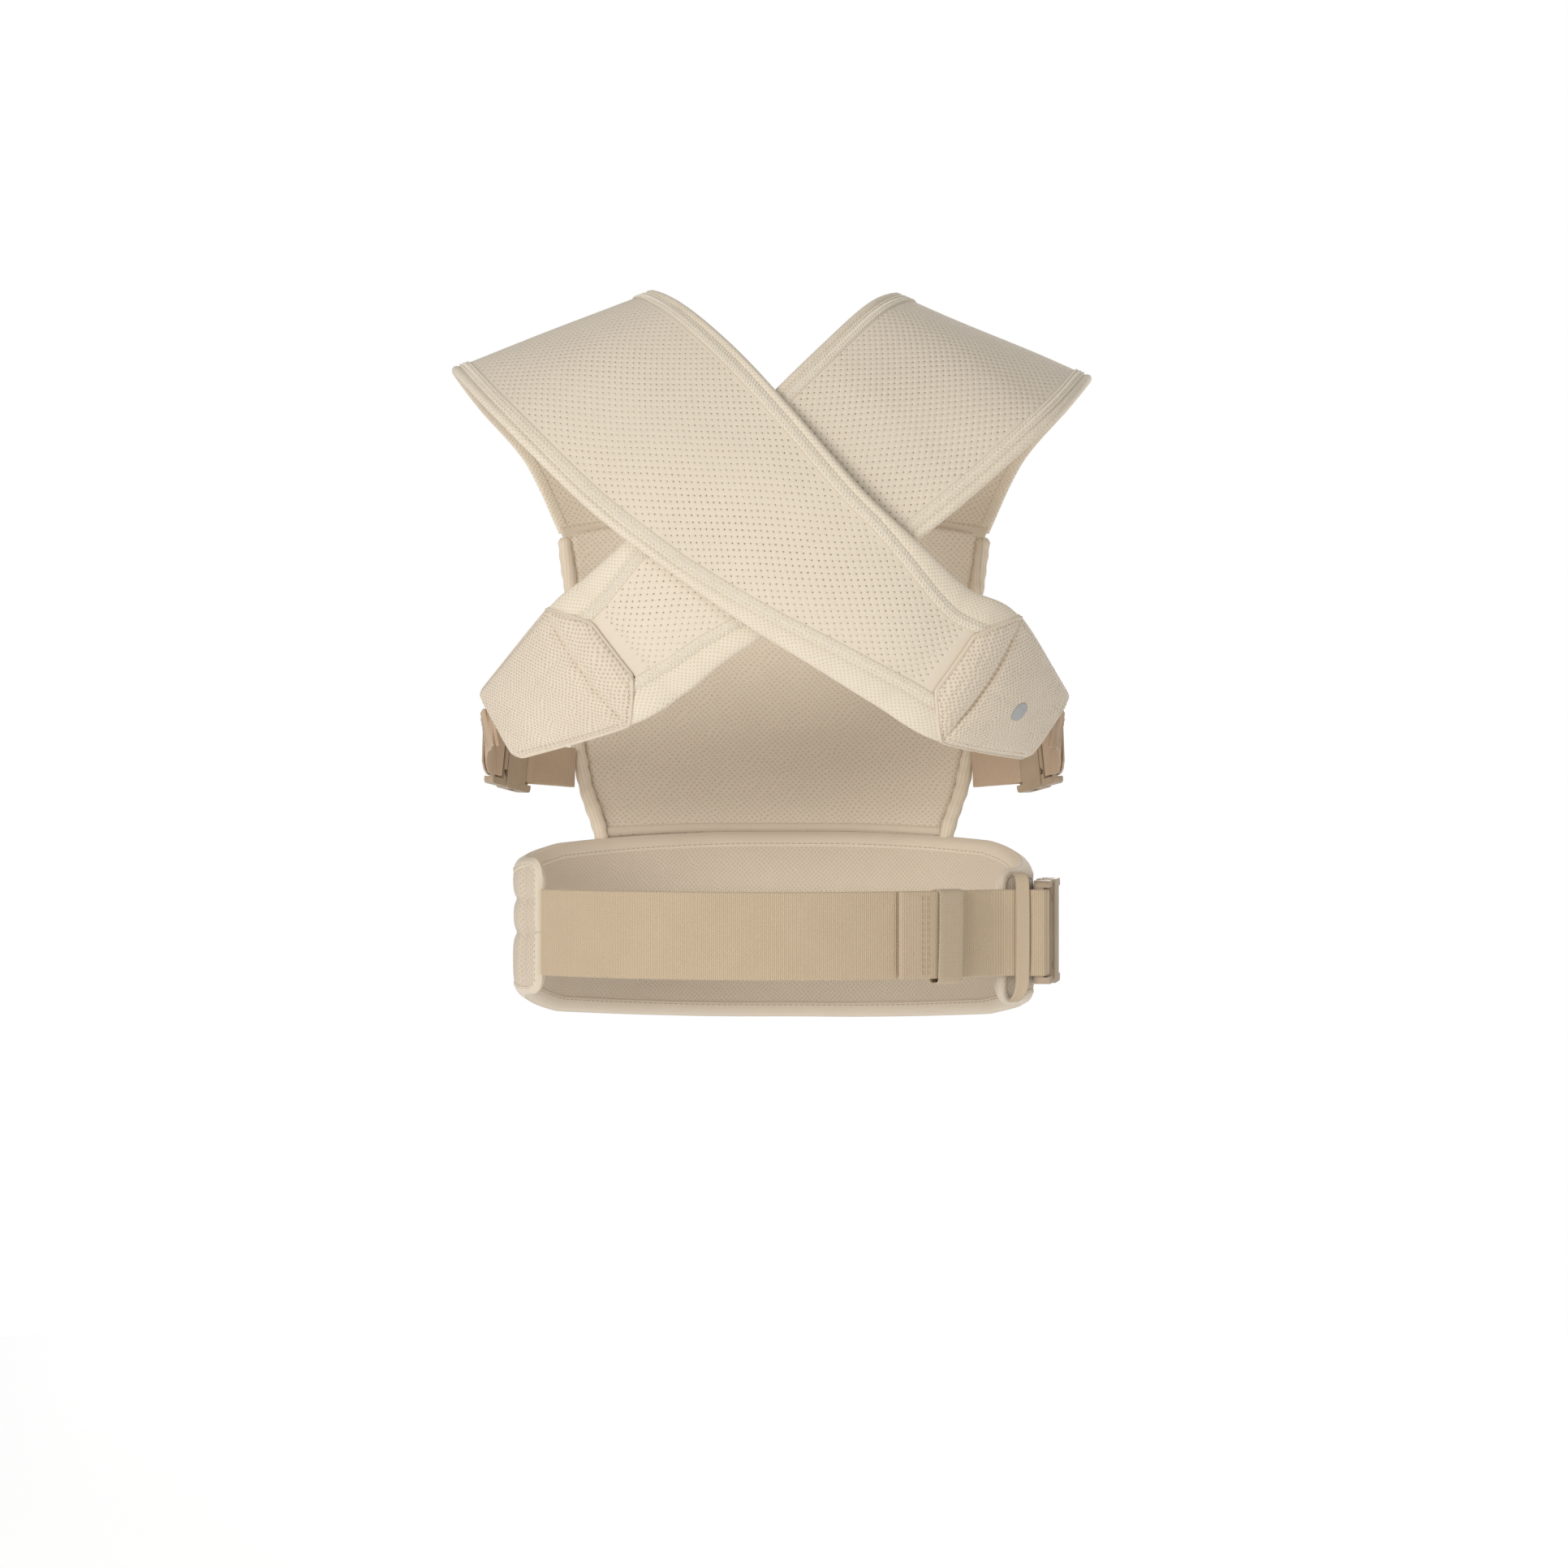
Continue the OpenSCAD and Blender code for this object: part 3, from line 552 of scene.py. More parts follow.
area("key", (-1.7, -2.2, 0.6), (0, 0, 0.1), 1.3, 42)
area("fill", (1.9, -2.0, 0.3), (0, 0, 0.1), 1.3, 13)
area("back", (0.9, 2.3, 0.9), (0, 0, 0.1), 1.3, 34)


# --------------------------------------------------------------- shoulder straps

# the edges of each strap's middle layer, from the front panel over the shoulder and across the
# back to the far side's end pad
LEFT_NECK = [[-48, 120, 254], [-55, 117, 300], [-66, 80, 350], [-74, 6, 377],
             [-55, -46, 365], [-22, -85, 334], [10, -108, 298], [49, -122, 252],
             [81, -117, 222], [109, -103, 197], [138, -80, 183], [171, -3, 138]]
LEFT_ARM = [[-132, 106, 240], [-152, 99, 282], [-178, 66, 312], [-190, 2, 330],
            [-159, -73, 295], [-106, -108, 242], [-60, -120, 206], [-17, -123, 176],
            [22, -119, 152], [56, -110, 131], [91, -95, 111], [148, -37, 100]]
RIGHT_NECK = [[48, 120, 254], [55, 117, 300], [66, 80, 350], [75, 6, 375],
              [57, -46, 365], [26, -82, 334], [-9, -101, 298], [-47, -111, 257],
              [-83, -108, 223], [-106, -98, 203], [-126, -84, 187], [-171, -13, 138]]
RIGHT_ARM = [[132, 106, 240], [152, 99, 282], [178, 66, 312], [188, 2, 325],
             [161, -73, 293], [113, -104, 248], [65, -113, 210], [22, -115, 184],
             [-22, -111, 158], [-49, -104, 137], [-78, -97, 120], [-147, -44, 100]]
# where along the strap its end pad starts, how long its point is and where it ends, as u, and
# the point's flat tip as a share of the strap's width
PAD_START, PAD_POINT, PAD_END, PAD_TIP = 9.53, 0.47, 11.0, 0.44
PAD_WIDE = PAD_START + PAD_POINT
# heights of the perforated face, of the borders' flat bands and of the lining's two sides
FACE_TOP, BAND_TOP, LINING_TOP, LINING_LOW = 3.75, 4.32, 2.0, 0.3
# how much the pad's end edge is cut short at its neck side and at its arm side
END_TRIM = {-1: (0.0, 0.08), 1: (0.04, 0.0)}
# the perforation's lattice and holes, and the way from one coverstitch to the next
STEP_ALONG, STEP_ACROSS = 2.83, 2.29
HOLE_R, HOLE_DEPTH = 0.43, 0.8
COVER_EVERY = 2.2


def coverstitch(on, rows, zigzag, start, end, last, arch):
    """Three needle rows, and the looper thread that zigzags between them."""
    parts = []
    for k, e in enumerate(rows):
        a = np.arange(start + 0.7 * k, end - COVER_EVERY, COVER_EVERY)
        p, n = on(a, e)
        parts.append(threads(p, on(a + 1.55, e)[0], n, 0.42, arch))
    a = np.arange(start, end - last, COVER_EVERY / 2)
    zig = np.where(np.arange(len(a)) % 2 == 0, *zigzag)
    p, n = on(a, zig)
    parts.append(threads(p, on(a + COVER_EVERY / 2, sum(zigzag) - zig)[0], n, 0.33, 0.22))
    return parts


class Strap:
    """One shoulder strap: u along it, v from -1 at the neck edge to 1 at the arm edge."""

    def __init__(self, name, side, neck, arm):
        self.name, self.side = name, side
        self.neck, self.arm = np.array(neck, float), np.array(arm, float)
        self.u = np.linspace(0, PAD_END, 2201)
        self.s = lengths((curve(self.neck, self.u) + curve(self.arm, self.u)) / 2)

    def half(self, u):
        return np.linalg.norm(curve(self.arm, u) - curve(self.neck, u), axis=-1) / 2

    def s_of(self, u):
        return np.interp(u, self.u, self.s)

    def u_of(self, s):
        return np.interp(s, self.s, self.u)

    def rate(self, u):
        """Millimetres of strap for each unit of u."""
        e = 0.02
        return (self.s_of(u + e) - self.s_of(u - e)) / (2 * e)

    def at(self, u, v, h):
        u, v, h = np.broadcast_arrays(*(np.asarray(q, float) for q in (u, v, h)))
        a, b = curve(self.neck, u), curve(self.arm, u)
        w = unit(b - a)
        half = np.linalg.norm(b - a, axis=-1)[..., None] / 2
        u0, u1 = np.maximum(u - 0.02, 0), np.minimum(u + 0.02, PAD_END)
        along = (curve(self.neck, u1) + curve(self.arm, u1)
                 - curve(self.neck, u0) - curve(self.arm, u0))
        n = unit(np.cross(w, along) if self.side < 0 else np.cross(along, w))
        crown = 6 * (1 - 0.85 * np.exp(-((u - 3) / 1.1) ** 2)) * (1 - 0.5 * ease(u - 10))
        droop = (4.6 - 1.4 * v) * np.exp(-((u - 3) / 0.95) ** 2)
        lift = h + crown * (1 - v * v) - droop + self.ripple(u, v)
        return (a + b) / 2 + w * v[..., None] * half + n * lift[..., None]

    def ripple(self, u, v):
        """Slow, shallow unevenness that all of the strap's layers share."""
        x = self.s_of(u)
        k = 1 if self.side < 0 else 1.3
        return 0.35 * (np.sin(x / 23 * k + 2 * v) * np.sin(2.1 * v + x / 61)
                       + 0.6 * np.sin(x / 13 - 3 * v + k)) * (1 - v ** 4) * clamp((11 - u) * 4)

    def normal(self, u, v, h=0.0):
        return unit(self.at(u, v, np.asarray(h) + 1.0) - self.at(u, v, h))


STRAPS = [Strap("left", -1, LEFT_NECK, LEFT_ARM), Strap("right", 1, RIGHT_NECK, RIGHT_ARM)]


def border_width(u, edge):
    """The borders widen from the shoulder to the pad."""
    start = 6 if edge < 0 else 4
    return np.maximum(11.5, lerp(7, 23, ease((u - start) / (10 - start))))


def pad_share(u):
    """The pad's half width as a share of the strap's: a pointed front, rounded end corners."""
    q = clamp((u - 10.9) / 0.1)
    return np.where(u < PAD_WIDE, lerp(PAD_TIP, 1.0, (u - PAD_START) / (PAD_WIDE - PAD_START)),
                    1.0 - 0.3 * (1 - np.sqrt(np.maximum(1 - q * q, 0))))


def pad_front(share):
    """Where the pad's pointed front lies at a share of the strap's half width."""
    return PAD_START + PAD_POINT * np.maximum(share - PAD_TIP, 0) / (1 - PAD_TIP)


def perforated(place, flip, s_range, w_range, keep, hole, top):
    """Cloth with a brick lattice of small round pits. place(s, w, h) gives points of it."""
    p, q = STEP_ALONG, STEP_ACROSS
    j0, j1 = int(math.floor(w_range[0] / q)), int(math.ceil(w_range[1] / q))
    m0, m1 = int(s_range[0] / p / 2) - 1, (int(math.ceil(s_range[1] / p)) + 2) // 2 + 1
    jj, mm = (q.ravel() for q in np.meshgrid(np.arange(j0, j1), np.arange(m0, m1),
                                             indexing="ij"))
    k0 = 2 * mm + (jj % 2)
    cs, cw = (k0 + 1) * p, (jj + 0.5) * q
    ok = keep(cs, cw)
    jj, k0, cs, cw = jj[ok], k0[ok], cs[ok], cw[ok]
    corner = np.stack([np.stack([k0 + a, jj + b], -1) for a, b in
                       ((0, 0), (1, 0), (2, 0), (2, 1), (1, 1), (0, 1))], 1)
    used, ids = np.unique(corner.reshape(-1, 2), axis=0, return_inverse=True)
    ids = ids.reshape(-1, 6)
    has = hole(cs, cw)
    hs = cs[has] + rng.uniform(-0.12, 0.12, has.sum())
    hw = cw[has] + rng.uniform(-0.1, 0.1, has.sum())
    # the cloth is stretched unevenly, so that the holes open more in some places
    wide = HOLE_R * (0.92 + 0.16 * np.sin(hs / 31 + 1.7 * np.sin(hw / 17)) * np.sin(hw / 23 + 1)
                     + rng.uniform(-0.16, 0.1, len(hs)))
    turn = np.radians(210 + 30 * np.arange(12))
    s, w, h = [used[:, 0] * p], [used[:, 1] * q], [np.full(len(used), top)]
    for r, d in ((wide + 0.1, 0.0), (wide, -0.1)):
        s.append((hs[:, None] + r[:, None] * np.cos(turn)).ravel())
        w.append((hw[:, None] + r[:, None] * np.sin(turn)).ravel())
        h.append(np.full(len(hs) * 12, top + d))
    s, w, h = map(np.concatenate, (s + [hs], w + [hw], h + [np.full(len(hs), top - HOLE_DEPTH)]))
    n, nxt = np.arange(len(hs))[:, None], (np.arange(12) + 1) % 12
    rim, lip = (len(used) + 12 * (len(hs) * k + n) + np.arange(12) for k in range(2))
    tip = len(used) + 24 * len(hs) + np.repeat(n, 12, axis=1)
    outer = ids[has]
    walls = np.stack([np.stack([outer[:, i], outer[:, (i + 1) % 6], rim[:, (2 * i + 2) % 12],
                                rim[:, 2 * i + 1], rim[:, 2 * i]], -1) for i in range(6)], 1)
    lips = np.stack([rim, rim[:, nxt], lip[:, nxt], lip], -1)
    pits = np.stack([lip, lip[:, nxt], tip], -1)
    faces = [f for group in (walls.reshape(-1, 5), ids[~has], lips.reshape(-1, 4),
                             pits.reshape(-1, 3))
             for f in (group[:, ::-1] if flip else group).tolist()]
    # the pits' faces take the second, darker material: painted shade inside each hole
    dark = np.arange(len(faces)) >= len(faces) - 12 * len(hs)
    return (place(s, w, h), faces, np.stack([s, w], -1)), dark


def strap_face(strap):
    s_end = strap.s_of(10.0)

    def inside(s, w, extra):
        u = strap.u_of(s)
        half = strap.half(u) - extra
        return (w > border_width(u, -1) - half) & (w < half - border_width(u, 1))

    def keep(s, w):
        u = strap.u_of(s)
        share = pad_share(u) - 0.1
        under = (u > PAD_START + 0.06) & (np.abs(w) < share * strap.half(u))
        return (s > 1) & (s < s_end) & inside(s, w, -1.7) & ~under

    def hole(s, w):
        u = strap.u_of(s)
        room = 6.5 / strap.rate(u)
        return inside(s, w, 1.4) & (u < pad_front(np.abs(w) / strap.half(u)) - room) & (s > 9)

    def place(s, w, h):
        u = strap.u_of(s)
        return strap.at(u, w / strap.half(u), h)

    mesh, index = perforated(place, strap.side < 0, (0, s_end), (-80, 80), keep, hole, FACE_TOP)
    o = piece(f"{strap.name}_strap_perforated_face", mesh, [MESH, HOLE_SHADE],
              [f"{strap.name}_strap_face"], index=index, closed=False)
    us = np.linspace(0, 10, 300)
    width = 2 * strap.half(us) - border_width(us, -1) - border_width(us, 1)
    float(np.trapz(width, strap.s_of(us))) / 1e6


def strap_lining(strap):
    s_end = strap.s_of(10.05)
    us = strap.u_of(np.linspace(0, s_end, 150))
    half = strap.half(us)[:, None]
    u, v = np.broadcast_arrays(us[:, None], np.linspace(-1, 1, 33)[None])
    v = v * (1 - np.minimum(1.2 / half, 0.05))
    mesh = slab(strap.at(u, v, LINING_TOP), strap.at(u, v, LINING_LOW),
                np.stack([strap.s_of(u), v * half], -1))
    o = piece(f"{strap.name}_strap_padded_lining", mesh, LINING,
              [f"{strap.name}_strap_lining"])
    float(np.trapz(2 * half[:, 0], strap.s_of(us))) / 1e6


# cross-section of a border: its distance in from the edge, as a share of the whole width, a
# share of the roll's width and millimetres, and its height
BORDER_SECTION = [(1, 0, 0.9, 3.35), (1, 0, 0.45, 3.9), (1, 0, -0.2, 4.15), (1, 0, -1.6, 4.28),
                  (1, 0, -3.2, 4.32), (1, 0, -4.8, 4.28), (1, 0, -6.0, 4.1), (1, 0, -6.5, 3.75),
                  (1, 0, -7.0, 4.15), (0, 0.8, 0, 4.6), (0, 0.6, 0, 4.8), (0, 0.42, 0, 4.85),
                  (0, 0, 1.5, 4.6), (0, 0, 0.7, 3.9), (0, 0, 0.15, 2.9), (0, 0, 0.0, 1.9),
                  (0, 0, 0.3, 1.0), (0, 0, 1.0, 0.25), (0, 0, 2.2, -0.1), (0, 0, 4.0, -0.15),
                  (0, 0, 6.4, -0.05), (0, 0, 7.2, 0.15), (0, 0, 7.4, 0.8)]


def strap_border(strap, edge):
    """Rolled outer fold, and a flatter coverstitched band beside the perforated face."""
    us = strap.u_of(np.linspace(0.0, strap.s_of(10.02), 330))
    wide = border_width(us, edge)[:, None]
    roll = wide - 6.6
    e = np.concatenate([a * wide + b * roll + c for a, b, c, _ in BORDER_SECTION], 1)
    h = np.array([d for *_, d in BORDER_SECTION])[None] + 0 * e
    # the fold puckers a little between its stitches
    s = strap.s_of(us)[:, None]
    soft = np.exp(-((e - roll * 0.55) / (roll * 0.35)) ** 2) * (h > 3)
    h = h + soft * (0.12 * np.sin(s / 1.9) + 0.18 * np.sin(s / 7.3 + edge))
    v = edge * (1 - e / strap.half(us)[:, None])
    mesh = loft(strap.at(us[:, None] + 0 * e, v, h), np.stack([s + 0 * e, e + 0.3 * h], -1))
    cols = len(BORDER_SECTION)
    index = np.zeros(len(mesh[1]), int)
    # the border's inner wall, where it steps down to the perforated face, takes the darker
    # seam_shadow colour: painted shade in the step
    index[:(len(us) - 1) * cols].reshape(len(us) - 1, cols)[:, [0, cols - 1]] = 1
    side = "neck" if edge < 0 else "arm"
    name = f"{strap.name}_strap_{side}_edge"
    o = piece(name, mesh, [BAND, SEAM], [f"{strap.name}_strap_{side}_border"],
              index=index)

    def on(s, inner):
        u = strap.u_of(s)
        v = edge * (1 - (border_width(u, edge) - inner) / strap.half(u))
        return strap.at(u, v, BAND_TOP), strap.normal(u, v)

    stitching(f"{name}_coverstitch",
              coverstitch(on, (1.0, 3.2, 5.4), (0.7, 5.7), 3, strap.s_of(PAD_WIDE - 0.03),
                          COVER_EVERY, 0.42), o, THREAD)


# where each pad's creases start and end, as u and v
CREASES = {-1: [(10.03, 0.1, 10.5, 0.05)],
           1: [(10.03, -0.35, 10.95, 0.05), (10.03, 0.35, 10.8, 0.45)]}


def pad_height(strap, u, v):
    """Top of the stuffed end pad above the strap's own surface."""
    half, rate = strap.half(u), strap.rate(np.clip(u, 0.1, 10.9))
    share = pad_share(u)
    side = (share - np.abs(v)) * half * np.where(u < PAD_WIDE, 0.84, 1.0)
    d = np.minimum(np.minimum(side, (u - PAD_START) * rate), (PAD_END - u) * rate)
    d = np.maximum(d, 0)
    rim = lerp(4.4, 2.4, ease((u - 9.9) / 0.25))
    rise = np.sqrt(1 - (1 - clamp(d / 6.5)) ** 2)
    ta, tb = clamp((u - PAD_START) / PAD_POINT), clamp(u - PAD_WIDE)
    wide = np.maximum(1 - (v / share) ** 2, 0) ** 0.6
    full = np.where(u < PAD_WIDE, 6.1 + 2.4 * np.sin(PI * ta) ** 0.7 * wide,
                    6.1 + 3.6 * np.sin(PI * tb ** 0.85) ** 0.7 * wide)
    top = rim + (full - rim) * rise
    across = np.abs(u - PAD_WIDE - 0.012) * rate
    deep = 1.0 if strap.side < 0 else 0.45
    top = top - deep * (1.5 * np.exp(-(across / 0.8) ** 2)
                        + 1.1 * np.exp(-across / 2.6)) * clamp(d / 2.5 + 0.15)
    # shallow creases that fan out from the channel
    for ua, va, ub, vb in CREASES[strap.side]:
        dx, dy = (ub - ua) * rate, (vb - va) * half
        px, py = (u - ua) * rate, (v - va) * half
        t = clamp((px * dx + py * dy) / (dx * dx + dy * dy))
        gap = np.hypot(px - t * dx, py - t * dy)
        top = top - 0.55 * (1 - t) ** 0.5 * np.exp(-(gap / 1.5) ** 2)
    # soft unevenness of the filling
    return top + 0.3 * rise * (np.sin(v * half / 6.1 + u * 9) * np.sin(u * rate / 7.7 - v * 3))


def end_of_pad(strap, u, v):
    """The pad's end edge is cut a little short at one corner and drawn in at its middle."""
    trim = lerp(*END_TRIM[strap.side], (v + 1) / 2) + 0.04 * (1 - v * v)
    return np.where(u > PAD_WIDE, PAD_WIDE + (u - PAD_WIDE) * (1 - trim), u)


def pad_stitch(strap, u, v, lift, *size):
    h = pad_height(strap, u, v) + lift
    return stitch_row(strap.at(end_of_pad(strap, u, v), v, h), strap.normal(u, v, h), *size)


def strap_pad(strap):
    tu = np.concatenate([np.linspace(PAD_START, 9.6, 10)[:-1], np.linspace(9.6, 9.95, 20)[:-1],
                         np.linspace(9.95, 10.07, 34)[:-1], np.linspace(10.07, 10.88, 42)[:-1],
                         np.linspace(10.88, PAD_END, 16)])
    c = np.linspace(-1, 1, 61)
    c = np.sign(c) * (1 - (1 - np.abs(c)) ** 1.35)
    u = tu[:, None] + 0 * c[None]
    v = c[None] * pad_share(tu)[:, None]
    top = pad_height(strap, u, v)
    # the underside curls up to meet the rim
    half = strap.half(u)
    d = np.minimum((pad_share(u) - np.abs(v)) * half, (PAD_END - u) * 80.0)
    low = lerp(3.9, 0.2, ease((u - 9.95) / 0.12))
    low = low + np.where(u > 10.0, 1.9 * (1 - np.sqrt(1 - (1 - clamp(d / 2.2)) ** 2)), 0)
    low = np.minimum(low, top - 0.15)
    on = lambda u, v, h: strap.at(end_of_pad(strap, u, v), v, h)
    name = f"{strap.name}_strap_end_pad"
    o = piece(name, slab(on(u, v, top), on(u, v, low), np.stack([strap.s_of(u), v * half], -1)),
              PAD,
              [f"{strap.name}_strap_pad_{k}" for k in ("cover", "foam", "backing")])

    # piping round the pointed front and along the two sides
    front = np.array([(10.0, 1.0), (9.765, 0.72), (9.545, 0.455), (9.53, 0.41), (9.53, 0.2)])
    line = np.concatenate([front * [1, -1], [[9.53, 0.0]], front[::-1]])
    line = np.concatenate([lerp(line[i], line[i + 1], np.linspace(0, 1, 12)[:-1, None])
                           for i in range(len(line) - 1)] + [line[-1:]])
    parts = [tube(resample(strap.at(line[:, 0] + 0.012, line[:, 1] * 0.985, 4.75), 1.2), 1.15)]
    au = np.linspace(9.99, 10.93, 90)
    av = pad_share(au)
    side = lambda v, inset, h: resample(
        strap.at(end_of_pad(strap, au, v), v - inset / strap.half(au), h), 1.2)
    lower = side(av, 0.7, 3.1)
    run = lengths(lower)
    thin = np.sqrt(clamp((np.minimum(run, run[-1] - run) + 0.3) / 5))
    parts += [tube(lower, 1.35 * thin), tube(side(-av, -0.5, 2.7), 1.0)]
    piece(f"{name}_piping", join(parts), PAD_EDGE, parent=o)

    # topstitching beside the piping and round the end, its insets in millimetres
    front_v, mid = np.linspace(0.46, 0.97, 30), np.linspace(-0.4, 0.4, 24)
    front_u = pad_front(front_v)
    end_u, end_v = np.linspace(10.06, 10.9, 60), np.linspace(-0.66, 0.66, 40)
    inset = 2.3
    in_v = inset * 0.45 / strap.half(front_u)
    side_v = pad_share(end_u) - 3.3 / strap.half(end_u)
    rows = [(front_u + inset / 62, k * (front_v - in_v)) for k in (-1, 1)]
    rows += [(0 * mid + PAD_START + inset / 60, mid)]
    rows += [(end_u, k * side_v) for k in (-1, 1)] + [(0 * end_v + 10.955, end_v)]
    stitching(f"{name}_topstitch", [pad_stitch(strap, *row, 0.02, 2.2, 1.0, 0.2, 0.14)
                                    for row in rows], o)


for strap in STRAPS:
    strap_face(strap)
    strap_lining(strap)
    strap_border(strap, -1)
    strap_border(strap, 1)
    strap_pad(strap)


def plain_patch():
    """A plain round patch where the real pad carries a mark."""
    strap = STRAPS[0]
    u0, v0 = 10.42, 0.16
    rate, half = strap.rate(u0), strap.half(u0)
    ring = lambda r, a: (u0 + r * np.cos(a) / rate, v0 + r * np.sin(a) / half)
    r, a = np.linspace(0.15, 6.2, 8)[:, None], angles(48)[None]
    u, v = ring(r, a)
    top = pad_height(strap, u, v)
    lift = np.array([0.45] * 7 + [0.25])[:, None]
    up, down = (strap.at(end_of_pad(strap, u, v), v, h) for h in (top + lift, top - 0.15))
    flat = np.stack([r * np.cos(a), r * np.sin(a)], -1)
    o = piece("end_pad_plain_patch", loft(np.concatenate([up, down[::-1]]),
                                          np.concatenate([flat, flat[::-1]])),
              PATCH, ["pad_patch"])
    stitching("end_pad_patch_stitch", [pad_stitch(strap, *ring(5.5, np.linspace(0, 2 * PI, 80)),
                                                  0.45, 1.2, 0.6, 0.13, 0.1)],
              o, PATCH)


plain_patch()

# -------------------------------------------------------------------- waist belt

_phi = np.linspace(BELT_END - 20, BELT_LEFT + 20, 4001)
_arc = lengths(oval(_phi, 6.0))
_arc = _arc - np.interp(180, _phi, _arc)


def belt_s(phi):
    """Length along the belt from the middle of the front."""
    return np.interp(phi, _phi, _arc)


def belt_phi(s):
    return np.interp(s, _arc, _phi)


def from_both_ends(q):
    return np.concatenate([BELT_END + q, (BELT_LEFT - q)[::-1][1:]])


def from_end(phi):
    """Degrees to the nearer end of the belt."""
    return np.minimum(phi - BELT_END, BELT_LEFT - phi)


def belt_half(phi):
    q = from_end(phi)
    corner = np.sqrt(clamp(1 - (1 - clamp(q / 8)) ** 2))
    return lerp(29.0, lerp(78, 112, ease((q - 8) / 110)) / 2, corner)


def belt_shift(phi):
    """The belt hangs a little: its left end sits higher than its right one."""
    return 3.4 * ease(1 - (BELT_LEFT - phi) / 75) - 2.8 * ease(1 - (phi - BELT_END) / 75)


def belt_frame(phi, z):
    """Half height, way from the belt's end, height above its middle, offset of its rim, and
    way from its edge."""
    half, q, zc = belt_half(phi), from_end(phi), z - belt_shift(phi)
    return half, q, zc, lerp(3.0, 5.4, ease(q / 14)), np.maximum(half - np.abs(zc), 0)


def belt_outer(phi, z):
    """Offset of the stuffed belt's outer skin."""
    half, q, zc, base, e = belt_frame(phi, z)
    full = lerp(6.0, 12.2, ease(q / 14))
    end = np.sqrt(1 - (1 - clamp(q * 1.1 / 5)) ** 2)
    rise = np.sqrt(1 - (1 - clamp(e / 13)) ** 2) * lerp(0.35, 1, end)
    seam = 0.0
    for at in BELT_SEAMS:
        dz = (zc / half - at) * half
        seam = seam + np.exp(-np.abs(dz) / 3.4) * np.exp(-(dz / 12) ** 2)
    fade = lerp(0.35, 1.0, ease(q / 10))
    upright = 1.6 * np.exp(-((q - 9.5) * 1.1 / 1.9) ** 2) * clamp(e / 8)
    s = belt_s(phi)
    soft = 0.28 * (np.sin(s / 9.3 + zc / 11) * np.sin(s / 31 - zc / 17) + 0.5 * np.sin(s / 4.1) *
                   clamp(seam * 2))
    return base + (full - base) * rise - 2.3 * seam * fade * rise - upright + soft * rise


def belt_inner(phi, z):
    """Offset of its lining."""
    half, _, zc, base, e = belt_frame(phi, z)
    rise = np.sqrt(1 - (1 - clamp(e / 8)) ** 2)
    seam = sum(np.exp(-((zc - at * half) / 3.0) ** 2) for at in BELT_SEAMS)
    return base - (base - 0.5) * rise + 0.9 * seam * rise


def belt_point(phi, z, off):
    phi, z, off = np.broadcast_arrays(phi, z, off)
    return np.concatenate([oval(phi, off), z[..., None]], -1)


def belt_normal(phi):
    return np.concatenate([outward(phi), np.zeros((*np.shape(phi), 1))], -1)


# cross-section of the folded binding: share of its width, lift, and the face it lies on
BINDING_SECTION = [(1, 0.05, 1), (0.958, 0.55, 1), (0.857, 0.7, 1), (0.762, 0.62, 1),
                   (0.55, 0.85, 1), (0.35, 0.9, 1), (0.167, 0.85, 1), (0.06, 0.7, 1),
                   (-0.065, 0.35, 1), (-0.107, 0.0, 0), (-0.065, -0.35, -1), (0.06, -0.7, -1),
                   (0.167, -0.8, -1), (0.5, -0.75, -1), (0.857, -0.6, -1), (0.958, -0.5, -1),
                   (1, -0.05, -1)]


